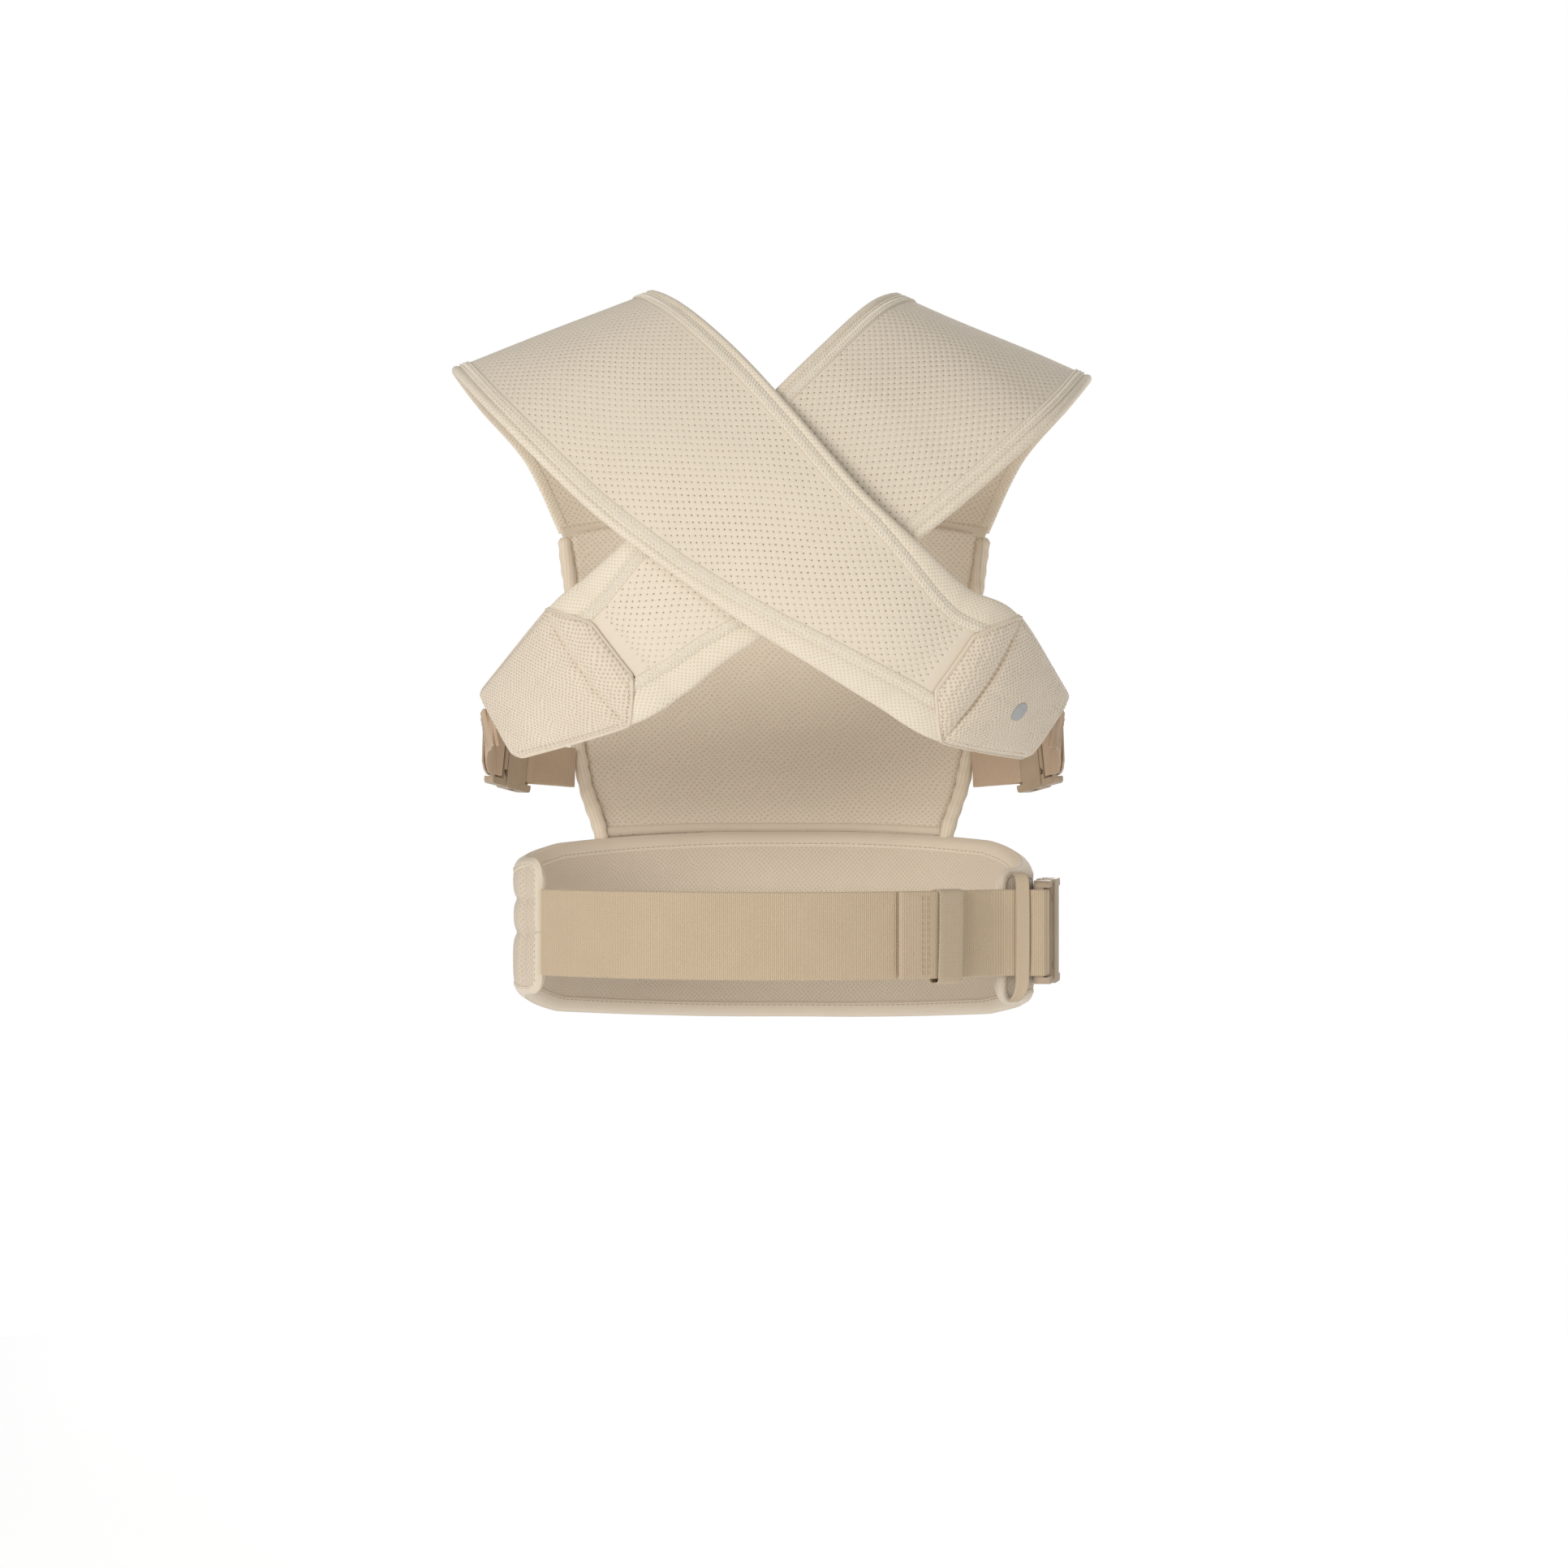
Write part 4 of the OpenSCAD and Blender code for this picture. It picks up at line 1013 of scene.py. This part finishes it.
def waist_belt():
    q = np.concatenate([8 * (1 - np.cos(np.linspace(0.06, PI / 2, 16))),
                        np.linspace(8.6, HALF_BELT, 120)])
    phi = from_both_ends(q)[:, None]
    c = np.linspace(-1, 1, 73)
    c = np.sign(c) * (1 - (1 - np.abs(c)) ** 1.3)
    sides = []
    for c, skin in ((c, belt_outer), (np.linspace(1, -1, 37), belt_inner)):
        ph, z = np.broadcast_arrays(phi, c * belt_half(phi) * 0.995 + belt_shift(phi))
        sides.append((belt_point(ph, z, skin(ph, z)), np.stack([belt_s(ph), z], -1)))
    mesh = loft(*(np.concatenate(q, 1) for q in zip(*sides)))
    o = piece("waist_belt_padding", mesh, BELT,
              ["waist_cover", "waist_foam", "waist_lining"])

    # folded binding round the outline, in unrolled (length, height) coordinates, wide along
    # the belt and narrow round its ends
    t = np.linspace(0, PI / 2, 14)
    q = np.concatenate([8 * (1 - np.cos(t)), np.linspace(9, HALF_BELT, 150)])
    along = from_both_ends(q)
    for key, sign in (("top", 1), ("bottom", -1)):
        edge = np.stack([belt_s(along), sign * belt_half(along) + belt_shift(along)], -1)
        ends = [np.stack([np.full(9, edge[k, 0]),
                          np.linspace(0.0, edge[k, 1], 10)[:-1]], -1) for k in (0, -1)]
        line = resample(np.concatenate([ends[0], edge, ends[1][::-1]]), 1.6)
        d = heading(line, False)
        inward = np.stack([d[:, 1], -d[:, 0]], -1)
        inward *= np.sign(-sign * inward[len(inward) // 2, 1])
        s = lengths(line)
        wide = lerp(3.5, 8.4, ease((np.minimum(s, s[-1] - s) - 42) / 26))

        def inside(e):
            p = line + inward * e[:, None]
            return belt_phi(p[:, 0]), p[:, 1]

        rows, flat = [], []
        for share, lift, face in BINDING_SECTION:
            e = share * (wide if share > 0 else 8.4 + 0 * wide)
            at = inside(np.maximum(e, 0))
            out, low = belt_outer(*at), belt_inner(*at)
            rows.append(belt_point(*inside(e), ((out + low) / 2, out, low)[face] + lift))
            flat.append(np.stack([s, -e if face < 0 else e], -1))
        b = piece(f"waist_belt_{key}_binding", loft(np.stack(rows, 1), np.stack(flat, 1)),
                  BINDING, [f"waist_{key}_rim"])
        ph, z = inside(wide - np.minimum(1.9, wide * 0.3))
        n = belt_normal(ph)
        stitching(f"waist_belt_{key}_binding_stitch", [
            stitch_row(belt_point(ph, z, belt_outer(ph, z) + 0.68), n, 2.3, 1.1, 0.22, 0.16),
            stitch_row(belt_point(ph, z, belt_inner(ph, z) - 0.66), -n, 2.3, 1.1, 0.22, 0.16)],
            b)

    # stitching in the two channels and in the upright seam near the right end
    ph = np.linspace(BELT_END + 10.5, BELT_LEFT - 10.5, 260)
    rows = [(ph, at * belt_half(ph), 2.6) for at in BELT_SEAMS]
    ph = np.full(30, BELT_END + 9.5)
    rows.append((ph, np.linspace(-0.78, 0.78, 30) * belt_half(ph), 2.4))
    parts = []
    for ph, z, length in rows:
        z = z + belt_shift(ph)
        parts.append(stitch_row(belt_point(ph, z, belt_outer(ph, z) + 0.1), belt_normal(ph),
                                length, 1.0, 0.24, 0.15))
    stitching("waist_belt_quilting_stitch", parts, o)


waist_belt()

# ----------------------------------------------------------------------- webbing


def ribbon(path, across, w, t, rib=1.15, relief=0.1, closed=False):
    """A woven band along a path, with its ribs in the mesh."""
    step = rib / 4
    p, a = eased(path, step, 0.8, np.broadcast_to(across, np.shape(path)), closed=closed)
    d = heading(p, closed)
    a = unit(a - d * np.sum(a * d, -1, keepdims=True))
    out = np.cross(d, a)
    s = np.arange(len(p)) * step
    wave = np.sin(2 * PI * s / rib)
    half = w / 2 + 0.16 * np.sin(2 * PI * s / rib + 0.7)
    # share of the width, inset from the wavy edge if it is there, and share of the thickness
    cols = ([(-1, 0, 0.0), (-1, 0.30, 0.85)] + [(k, None, 1.0) for k in np.linspace(-0.9, 0.9, 7)]
            + [(1, 0.30, 0.85), (1, 0, 0.0)])
    rows, xs = [], []
    for sign, part in ((1, cols), (-1, cols[1:-1][::-1])):
        for k, inset, y in part:
            x = k * (w / 2 - 1.0) / 0.9
            xs.append(x if inset is None else k * w / 2)
            x = x + 0 * s if inset is None else k * (half - inset)
            h = sign * t / 2 * y + sign * relief * wave * (1 if inset is None else 0.3)
            rows.append(p + a * x[:, None] + out * h[:, None])
    return loft(np.stack(rows, 1), spread(s, xs), closed)


# middle of the waist buckle, its direction out of the belt and its direction along the belt
BUCKLE_C = oval(82.0, 14.7)
BUCKLE_N = outward(82.0)
BUCKLE_D = np.array([-BUCKLE_N[1], BUCKLE_N[0]])


def at_buckle(x, z):
    """Plan point x along the waist buckle from its webbing end, and z out of it."""
    return BUCKLE_C + (x - 31) * BUCKLE_D + z * BUCKLE_N


def bend(at, x, z, rx, rz, n):
    """n points half way round a bar whose middle is at x, z."""
    return [at(x + rx * math.cos(k), z + rz * math.sin(k))
            for k in np.radians(np.linspace(-80, 80, n))]


def plan(points):
    """Points of a plan line as a 3D line at mid height."""
    return np.pad(np.array(points), ((0, 0), (0, 1)))


def webbing_run():
    """Webbing round the back and through the buckle, and its tail with a sewn hem."""
    line = [oval(ph, 3) for ph in np.linspace(-66, 44, 56)]
    line += [oval(48, 4.6), oval(52, 8.4), oval(55.5, 12.6), at_buckle(-3.5, -1),
             at_buckle(0, -0.8), at_buckle(7, -0.6)]
    line += bend(at_buckle, 9.5, 4.1, 3.8, 3.8, 9)
    line += [at_buckle(6, 7.7), at_buckle(1, 7.5), at_buckle(-3.6, 6.5), at_buckle(-5.4, 0),
             oval(54.5, 14.6), oval(52, 11), oval(49, 8.4), oval(46.5, 6.4), oval(44, 5.6)]
    line += [oval(ph, 5.4) for ph in np.linspace(41, 25, 12)]
    line += [oval(24.75, 5.5), oval(24.55, 5.85), oval(24.5, 6.25), oval(24.55, 6.65),
             oval(24.75, 7.0), oval(25.2, 7.1)]
    line += [oval(ph, 7.1) for ph in (26.5, 28, 29.5, 31.2, 33.1, 35)]
    o = piece("waist_webbing_ribbed", ribbon(plan(line), (0, 0, 1), 50.0, 1.45), WEBBING,
              ["waist_webbing"])
    parts = []
    for ph in (29.2, 30.4):
        z = np.linspace(-23, 23, 30)
        parts.append(stitch_row(belt_point(ph, z, 8.0), belt_normal(ph), 2.6, 0.9, 0.26, 0.2))
    stitching("waist_webbing_hem_stitch", parts, o, WEBBING)


def anchor_webbing():
    """Webbing that ties the waist buckle's housing to the belt."""
    line = [oval(132, 13.6), oval(126, 13.9), oval(119, 14.3), at_buckle(61, 0.9),
            at_buckle(56.4, 1.2)]
    line += bend(at_buckle, 56.6, 5.2, -1.2, 3.8, 7)
    line += [at_buckle(57.4, 9.4), at_buckle(62.2, 9.4), at_buckle(65.2, 8.4), oval(118, 18.9),
             oval(124, 16.2), oval(132, 15.8)]
    o = piece("buckle_anchor_webbing_ribbed", ribbon(plan(line), (0, 0, 1), 49.0, 1.45), WEBBING,
              ["buckle_anchor_webbing"])
    # sewn box with a cross
    parts = []
    corners = {"a": (122.5, -19), "b": (122.5, 19), "c": (131.2, 19), "d": (131.2, -19)}
    for p, q in ("ab", "bc", "cd", "da", "ac", "bd"):
        (p0, z0), (p1, z1) = corners[p], corners[q]
        t = np.linspace(0, 1, 30)
        ph, z = lerp(p0, p1, t), lerp(z0, z1, t)
        off = np.interp(ph, [118, 124, 132], [18.9, 16.2, 15.8]) + 0.95
        parts.append(stitch_row(belt_point(ph, z, off), belt_normal(ph), 2.5, 0.8, 0.28, 0.2))
    stitching("buckle_anchor_box_stitch", parts, o)


def keeper():
    """Elastic loop round the webbing and its tail."""
    half_z, r = 26.6, 2.2
    lo, hi = 0.9, 9.1
    a = np.radians(np.linspace(0, 90, 5))
    corners = [(hi - r, half_z - r, 0), (lo + r, half_z - r, 90), (lo + r, -half_z + r, 180),
               (hi - r, -half_z + r, 270)]
    loop = []
    for x, z, turn in corners:
        loop += [(x + r * math.cos(k), z + r * math.sin(k)) for k in a + math.radians(turn)]
        if turn in (90, 270):
            z1 = -z
            loop += [(loop[-1][0], lerp(loop[-1][1], z1, t)) for t in (0.2, 0.4, 0.6, 0.8)]
    loop = np.roll(loop, -12, axis=0)
    # the outer face bows out a little over the tail, and the loop leans slightly
    bow = 0.35 * np.cos(loop[:, 1] / half_z * PI / 2) * (loop[:, 0] > 5)
    ph = 35.3 + loop[:, 1] * 0.006
    xy = oval(ph, loop[:, 0] + bow)
    pts = np.concatenate([xy, loop[:, 1:2] - 1.2], 1)
    tangent = np.array([math.cos(math.radians(36.5)), math.sin(math.radians(36.5)), 0.0])
    mesh = ribbon(pts, tangent, 17.6, 1.1, rib=1.25, relief=0.05, closed=True)
    piece("elastic_keeper_band", mesh, ELASTIC, ["webbing_keeper"],
          body="keeper")


def end_loop():
    """Elastic loop over the belt's right end."""
    low = [[52, 5.9], [54, 6.5], [56.5, 8.2], [60, 11.1]]
    high = [[134, -47.5], [138, -46.5], [143, -46.3], [148, -47.8]]
    arch = np.array([[1.0, -0.05], [0.995, 0.12], [0.975, 0.42], [0.93, 0.72], [0.86, 0.92],
                     [0.76, 1.0], [0.36, 1.04]])
    prof = np.concatenate([arch * [-1, 1], [[0, 1.05]], arch[::-1]])
    tall = belt_half(56.0)
    cols = np.linspace(1.35, 2.85, 11)
    lo = curve(low, cols)
    lo_xy = oval(lo[:, 0], lo[:, 1])
    hi_xy = curve(high, cols)
    out = outward(lo[:, 0] - 20)
    q = eased(prof * [tall, 12], 0.33, 1.2)
    qz, qt = q[:, 0], q[:, 1] / 12
    s = lengths(q)
    wave = 0.05 * np.sin(2 * PI * s / 1.25)[:, None]
    sheets = []
    for t in (1.3, 0.0):
        xy = lo_xy[None] + (hi_xy - lo_xy)[None] * qt[:, None, None]
        thick = t + wave * (1 if t else -1)
        edge = np.where((np.arange(11) == 0) | (np.arange(11) == 10), 0.65, thick)
        xy = xy + out[None] * edge[..., None]
        z = np.broadcast_to((qz + belt_shift(56.0) * (1 - qt))[:, None], xy.shape[:2])
        sheets.append(np.concatenate([xy, z[..., None]], -1))
    sec = np.concatenate([sheets[0], sheets[1][:, 1:-1][:, ::-1]], 1)
    flat = spread(s, np.linspace(-6, 6, 11))
    mesh = loft(sec, np.concatenate([flat, flat[:, 1:-1][:, ::-1]], 1))
    piece("belt_end_elastic_loop", mesh, ELASTIC, ["safety_loop"])


webbing_run()
anchor_webbing()
keeper()
end_loop()

# ----------------------------------------------------------- side webbing and tabs

# middle of the right side buckle, and its directions towards the panel, outward and up
SIDE_C = np.array([155.0, 44.0, 101.0])
SIDE_D = unit([-0.5, 0.86, -0.15])
SIDE_N = unit(np.cross(SIDE_D, [-0.08, 0.1, 0.99]))
SIDE_UP = np.cross(SIDE_N, SIDE_D)


def at_side(x, z):
    """Point x along the right side buckle from its webbing end, and z out of it."""
    return SIDE_C + (x - 20) * SIDE_D + z * SIDE_N


def side_webbing(side):
    """Webbing from an end pad, round the bar of the side buckle and back."""
    strap = STRAPS[0] if side > 0 else STRAPS[1]
    mirror = np.array([side, 1.0, 1.0])
    pad = lambda u, h: strap.at(u, 0.0, h) * mirror
    tip = pad(11.0, 2.2)
    along = unit(tip - pad(10.95, 2.2))
    across = unit((strap.neck[11] - strap.arm[11]) * mirror)
    way = np.array([pad(10.95, 2.2), tip, tip + along * 9, at_side(-9, -1.6),
                    at_side(-1.5, -0.9), at_side(4, -0.6)])
    up = lambda u: unit(lerp(across, SIDE_UP, ease((u - 1) / 2)))
    out = lambda u: unit(np.cross(curve(way, u + 0.1) - curve(way, u - 0.1), up(u)))
    go, back = [0, 1, 1.5, 2, 2.3, 2.6, 3, 3.5, 4, 5], [3.3, 3.1, 2.8, 2.5]
    line = [curve(way, u) for u in go]
    line += bend(at_side, 5.89, 2.9, 2.6, 2.8, 7)
    line += [at_side(3.5, 5.7), at_side(0, 5.5), at_side(-3.2, 4), at_side(-5, 1.6)]
    line += [curve(way, u) + out(u) * 1.9 for u in back]
    ups = [up(u) for u in go] + [SIDE_UP] * 11 + [up(u) for u in back]
    name = "right" if side > 0 else "left"
    mesh = ribbon(np.array(line) * mirror, np.array(ups) * mirror, 25.0, 1.3, 1.1, 0.07)
    o = piece(f"{name}_side_webbing_ribbed", mesh, SIDE_WEB, [f"{name}_side_webbing"])
    t = np.linspace(-10.5, 10.5, 16)[:, None]
    parts = []
    for u in (1.9, 2.05):
        c, n = curve(way, u), out(u)
        parts.append(stitch_row((c + up(u) * t + n * 0.75) * mirror, n * mirror,
                                2.0, 0.8, 0.22, 0.15))
    stitching(f"{name}_side_webbing_bar_stitch", parts, o)


# columns: half width, y of the middle, how far the sides lie back, z
PANEL = np.array([[104, 105, 35, 54], [114, 116, 34, 84], [121, 126, 32, 120],
                  [122, 131, 28, 160], [124, 130, 22, 200], [128, 126, 18, 230],
                  [131, 121.5, 15, 256]], float)


def panel_at(z):
    z = np.asarray(z, float)
    k = np.clip(np.searchsorted(PANEL[:, 3], z, side="right") - 1, 0, len(PANEL) - 2)
    return curve(PANEL, k + (z - PANEL[k, 3]) / (PANEL[k + 1, 3] - PANEL[k, 3]))


def panel_half(z):
    return panel_at(z)[..., 0]


def on_panel(x, z, h):
    """Points h outside the panel's curved inner surface."""
    x, z, h = np.broadcast_arrays(*(np.asarray(q, float) for q in (x, z, h)))
    p = panel_at(z)
    s = np.abs(x) / p[..., 0]
    n = unit(np.stack([np.sign(x) * 2.15 * p[..., 2] * s ** 1.15 / p[..., 0], np.ones_like(s)], -1))
    return np.stack([x + h * n[..., 0], p[..., 1] - p[..., 2] * s ** 2.15 + h * n[..., 1], z], -1)


def panel_low(x):
    return belt_half(180 - np.degrees(np.arcsin(np.abs(x) / (BACK_R + 8)))) + 0.4


def panel_high(x):
    return np.where(np.abs(x) < 47, 252.0, 253.4 - (np.abs(x) - 48) / 6)


def panel_tab(side):
    """Webbing that ties a side buckle's housing to the panel."""
    mirror = np.array([side, 1.0, 1.0])
    edge = on_panel(panel_half(96.0) + 4.6, 96.0, 0.4)
    line = np.array([edge, edge + [5.6, -7, 0.5], at_side(39.5, 1), at_side(36, 0.9),
                     at_side(34.6, 1.4), at_side(33.9, 4), at_side(34.6, 6.6), at_side(36, 7.1),
                     at_side(39.5, 6.8), edge + [7, -5.6, 0.5], edge + [1.4, 1.4, 0]])
    name = "right" if side > 0 else "left"
    piece(f"{name}_panel_tab_ribbed",
          ribbon(line * mirror, SIDE_UP * mirror, 24.0, 1.2, 1.1, 0.06),
          SIDE_WEB, [f"{name}_panel_tab"])


for s in (-1, 1):
    side_webbing(s)
    panel_tab(s)

# ------------------------------------------------------------------- front panel


def panel_soft(x, z):
    """How the panel's surface ripples."""
    return 0.3 * np.sin(x / 13 + z / 29) * np.sin(z / 17)


def panel_body():
    t = np.linspace(0, 1, 70)
    x = np.linspace(-1, 1, 61)[None] * (panel_half(lerp(54, 250, t))[:, None] - 4.6)
    z = lerp(panel_low(x), panel_high(x), t[:, None])
    mesh = slab(on_panel(x, z, 2.7 + panel_soft(x, z)), on_panel(x, z, 0.2),
                np.stack([z, x], -1))
    o = piece("front_panel_body", mesh, LINING, ["front_panel", "front_panel_lining"])
    return o


# middle height and half height of the window with rounded corners, and how square they are
WINDOW_Z, WINDOW_TALL, WINDOW_POWER = 155, 79, 4.6


def window_half(z):
    return panel_half(z) - 24 - 6 * (1 - (z - 60) / 190)


def panel_window():
    """Closed outline of the perforated part of the panel, as x and z."""
    a = angles(400)
    cx, cz = (np.sign(q) * np.abs(q) ** (2 / WINDOW_POWER) for q in (np.cos(a), np.sin(a)))
    z = WINDOW_Z + WINDOW_TALL * cz
    return cx * window_half(z), z


def in_window(x, z, inset):
    return (np.abs((z - WINDOW_Z) / (WINDOW_TALL - inset)) ** WINDOW_POWER
            + np.abs(x / (window_half(z) - inset)) ** WINDOW_POWER < 1)


def panel_face():
    mesh, index = perforated(lambda s, w, h: on_panel(w, s, h + panel_soft(w, s)), True,
                             (70, 240), (-110, 110), lambda s, w: in_window(w, s, -0.6),
                             lambda s, w: in_window(w, s, 3.5), 3.5)
    o = piece("front_panel_perforated_face", mesh, [MESH, HOLE_SHADE], index=index,
              closed=False)
    x, z = panel_window()
    d = heading(np.stack([x, z], -1), True)
    x, z, nx, nz = (np.append(q, q[0]) for q in (x, z, -d[:, 1], d[:, 0]))
    # distance out from the window's edge, and height
    prof = [(-5.2, 2.5), (-5.0, 3.3), (-4.2, 3.75), (-2, 3.95), (0, 4.0), (1.6, 3.95),
            (2.4, 3.7), (2.7, 3.2)]
    sec = np.stack([on_panel(x + e * nx, z + e * nz, h + panel_soft(x, z)) for e, h in prof], 1)
    run = lengths(np.stack([x, z], -1))
    flat = spread(run, [e for e, _ in prof])
    b = piece("front_panel_face_band",
              (sec.reshape(-1, 3), grid_faces(*sec.shape[:2]), flat.reshape(-1, 2)),
              BAND)

    def on(s, e):
        xs, zs, nxs, nzs = (np.interp(s % run[-1], run, q) for q in (x, z, nx, nz))
        xs, zs = xs + e * nxs, zs + e * nzs
        p = on_panel(xs, zs, 4.0 + panel_soft(xs, zs))
        return p, unit(on_panel(xs, zs, 5.0) - on_panel(xs, zs, 4.0))

    stitching("front_panel_coverstitch",
              coverstitch(on, (-3.2, -1.0, 1.2), (-3.5, 1.5), 0, run[-1], COVER_EVERY / 2, 0.4),
              b, THREAD)


def seam_band(name, c, n, out, up, over, sides, around, stands_for=()):
    """A rounded band along the points c, reaching out(a) along n and over(a) along up."""
    a = angles(sides)
    reach = lambda q, f: np.broadcast_to(q, c.shape)[:, None] * f(a)[:, None]
    sec = c[:, None] + reach(up, over) + reach(n, out)
    return piece(name, loft(sec, spread(lengths(c), a * around)), BINDING, stands_for)


def panel_trim():
    """Leg rolls, and bands over the panel's seams."""
    for side, name in ((-1, "left"), (1, "right")):
        z = np.linspace(50.5, 238, 194)
        c = on_panel(side * (panel_half(z) - 0.2), z, 1.8)
        r = 4.35 + 0.22 * np.sin(z / 1.55) + 0.15 * np.sin(z / 4.7 + side)
        r = r * np.sqrt(np.clip(np.minimum(z - 49.5, 239 - z) / 4, 0.05, 1))
        o = piece(f"front_panel_{name}_leg_roll", tube(c, r, 18), PAD_EDGE,
                  [f"panel_{name}_edge_roll"])
        z = np.linspace(60, 232, 150)
        x = side * (panel_half(z) - 6.2)
        p = on_panel(x, z, 2.85 + panel_soft(x, z))
        n = unit(on_panel(x, z, 4) - on_panel(x, z, 3))
        stitching(f"front_panel_{name}_leg_roll_stitch",
                  [stitch_row(p, n, 2.4, 1.0, 0.24, 0.18)], o)
    # bands over the seams to the shoulder straps, the neck support and the belt
    for strap in STRAPS:
        v = 2 * np.linspace(0.02, 0.98, 60) - 1
        n = strap.normal(0.02 + 0 * v, v)
        along = unit(strap.at(0.1 + 0 * v, v, 0.0) - strap.at(0 * v, v, 0.0))
        c = strap.at(0 * v, v, 2.1)
        o = seam_band(f"{strap.name}_shoulder_seam_band", c, n,
                      lambda a: 3.0 * np.sin(a) + 0.25 * np.sin(3 * a),
                      along, lambda a: 5.2 * np.cos(a), 20, 4)
        stitching(f"{strap.name}_shoulder_seam_stitch",
                  [stitch_row(c + along * k + m * 2.35, m, 2.3, 0.9, 0.24, 0.18)
                   for k in (-3.3, 3.3) for m in (n, -n)], o)
    x = np.linspace(-46, 46, 90)
    seam_band("front_panel_top_fold", on_panel(x, 253.9, 1.6),
              unit(on_panel(x, 253.9, 2.0) - on_panel(x, 253.9, 1.0)), lambda a: 2.6 * np.cos(a),
              (0, 0, 1), lambda a: 2.3 * np.sin(a), 18, 2.4, ["panel_top_binding"])
    x = np.linspace(-101, 101, 184)
    seam_band("front_panel_belt_seam_band", on_panel(x, np.maximum(panel_low(x) + 2.4, 54.5), 1.6),
              unit(on_panel(x, 80.0, 2.0) - on_panel(x, 80.0, 1.0)), lambda a: 2.2 * np.cos(a),
              (0, 0, 1), lambda a: 3.4 * np.sin(a), 16, 3)


panel = panel_body()
panel_face()
panel_trim()

# ------------------------------------------------------------------ neck support


FLAP_Y = 122.6
# heights of the two sewn channels
FLAP_SEAMS = (277.0, 297.0)


def flap_half(z):
    d = clamp((z - 304) / 14)
    low = clamp((261.6 - z) / 4)
    return 44 - 14 * (1 - np.sqrt(np.maximum(1 - d * d, 0))) - 4 * (1 - np.sqrt(1 - low * low))


def neck_support():
    z = 257.6 + 60.4 * (1 - np.cos(np.linspace(0.04, PI - 0.03, 64))) / 2
    c = np.sin(np.linspace(-PI / 2, PI / 2, 61))
    half = flap_half(z)[:, None]
    x = c[None] * half * (1 - 0.02 * np.sin(PI * (z - 257.6) / 60.4)[:, None])
    z = z[:, None] + 0 * x
    d = np.minimum(np.minimum(half - np.abs(x), z - 257.4), 318.2 - z)
    rise = np.sqrt(1 - (1 - clamp(d / 13)) ** 2)
    seams = sum(np.exp(-np.abs(z - at) / 2.4) * np.exp(-((z - at) / 9) ** 2) for at in FLAP_SEAMS)
    tall = 1.4 + 4.6 * rise + 0.2 * rise * np.sin(x / 9 + z / 7)
    front = tall - 1.7 * seams * rise
    back = tall * 0.92 - 0.8 * seams * rise
    mesh = slab(np.stack([x, FLAP_Y + front, z], -1), np.stack([x, FLAP_Y - back, z], -1),
                np.stack([x, z], -1))
    o = piece("neck_support_cushion", mesh, PAD,
              ["neck_flap_cover", "neck_flap_foam"], body="neck_support")
    a = np.linspace(258.2, 317.6, 70)
    side = np.stack([flap_half(a) - 0.2, a], -1)
    top, low = (np.stack([np.linspace(x, -x, 30), np.full(30, z)], -1)[1:-1]
                for x, z in ((30, 317.9), (-40, 257.9)))
    ring = np.concatenate([side, top, (side * [-1, 1])[::-1], low])
    path = resample(np.stack([ring[:, 0], np.full(len(ring), FLAP_Y), ring[:, 1]], -1), 1.3)
    piece("neck_support_piping", tube(path, 1.35, 10, up=(0, 1, 0), closed=True), PAD_EDGE,
          parent=o)
    x = np.linspace(-39, 39, 50)
    rows = [np.stack(np.broadcast_arrays(x, FLAP_Y + 4.42, at), -1) for at in FLAP_SEAMS]
    stitching("neck_support_stitch", [stitch_row(p, (0, 1, 0), 2.5, 1.0, 0.24, 0.15)
                                      for p in rows], o)


def fold_strip():
    """Cloth that joins the neck support to the panel."""
    low, tall = 252.8, 8.2
    z, x = np.meshgrid(np.linspace(low, low + tall, 24), np.linspace(-41, 41, 60), indexing="ij")
    y = 122.9 + 0.25 * np.sin(x / 3.1) * np.sin(PI * (z - low) / tall)
    mesh = slab(np.stack([x, y + 0.8, z], -1), np.stack([x, y - 0.8, z], -1),
                np.stack([x, z], -1))
    o = piece("neck_support_fold_strip", mesh, BAND, body=None)
    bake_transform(o)


neck_support()
fold_strip()

# ------------------------------------------------------------------------ buckles

for name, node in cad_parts.items():
    if "buckle" in name and "webbing" not in name:
        node.data.materials.clear()
        node.data.materials.append(PLASTIC)
        node.data.polygons.foreach_set("use_smooth", np.full(len(node.data.polygons), True))
        weld = node.modifiers.new("weld", "WELD")
        weld.merge_threshold = 0.00002
        bevel = node.modifiers.new("bevel", "BEVEL")
        bevel.width = 0.001 if "waist" in name else 0.0004
        bevel.segments = 3
        bevel.limit_method = "ANGLE"
        bevel.angle_limit = math.radians(32)
        bevel.harden_normals = True

# --------------------------------------------------------------------------- stage

me = bpy.data.meshes.new("floor")
size = 1.5
ring = [(size * math.cos(a), size * math.sin(a), -0.42)
        for a in angles(64)]
me.from_pydata(ring, [], [list(range(64))])
floor = bpy.data.objects.new("floor", me)
mat = bpy.data.materials.new("pale_floor")
mat.use_nodes = True
for key, value in (("Base Color", (0.93, 0.93, 0.93, 1)), ("Roughness", 0.95),
                   ("Emission Color", (1, 1, 1, 1)), ("Emission Strength", 0.25)):
    mat.node_tree.nodes["Principled BSDF"].inputs[key].default_value = value
me.materials.append(mat)
scene.collection.objects.link(floor)
floor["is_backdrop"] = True

plain = lambda box: [[float(x) for x in corner] for corner in box]
{"cad": plain(cad_box), "visual": plain(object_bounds())}
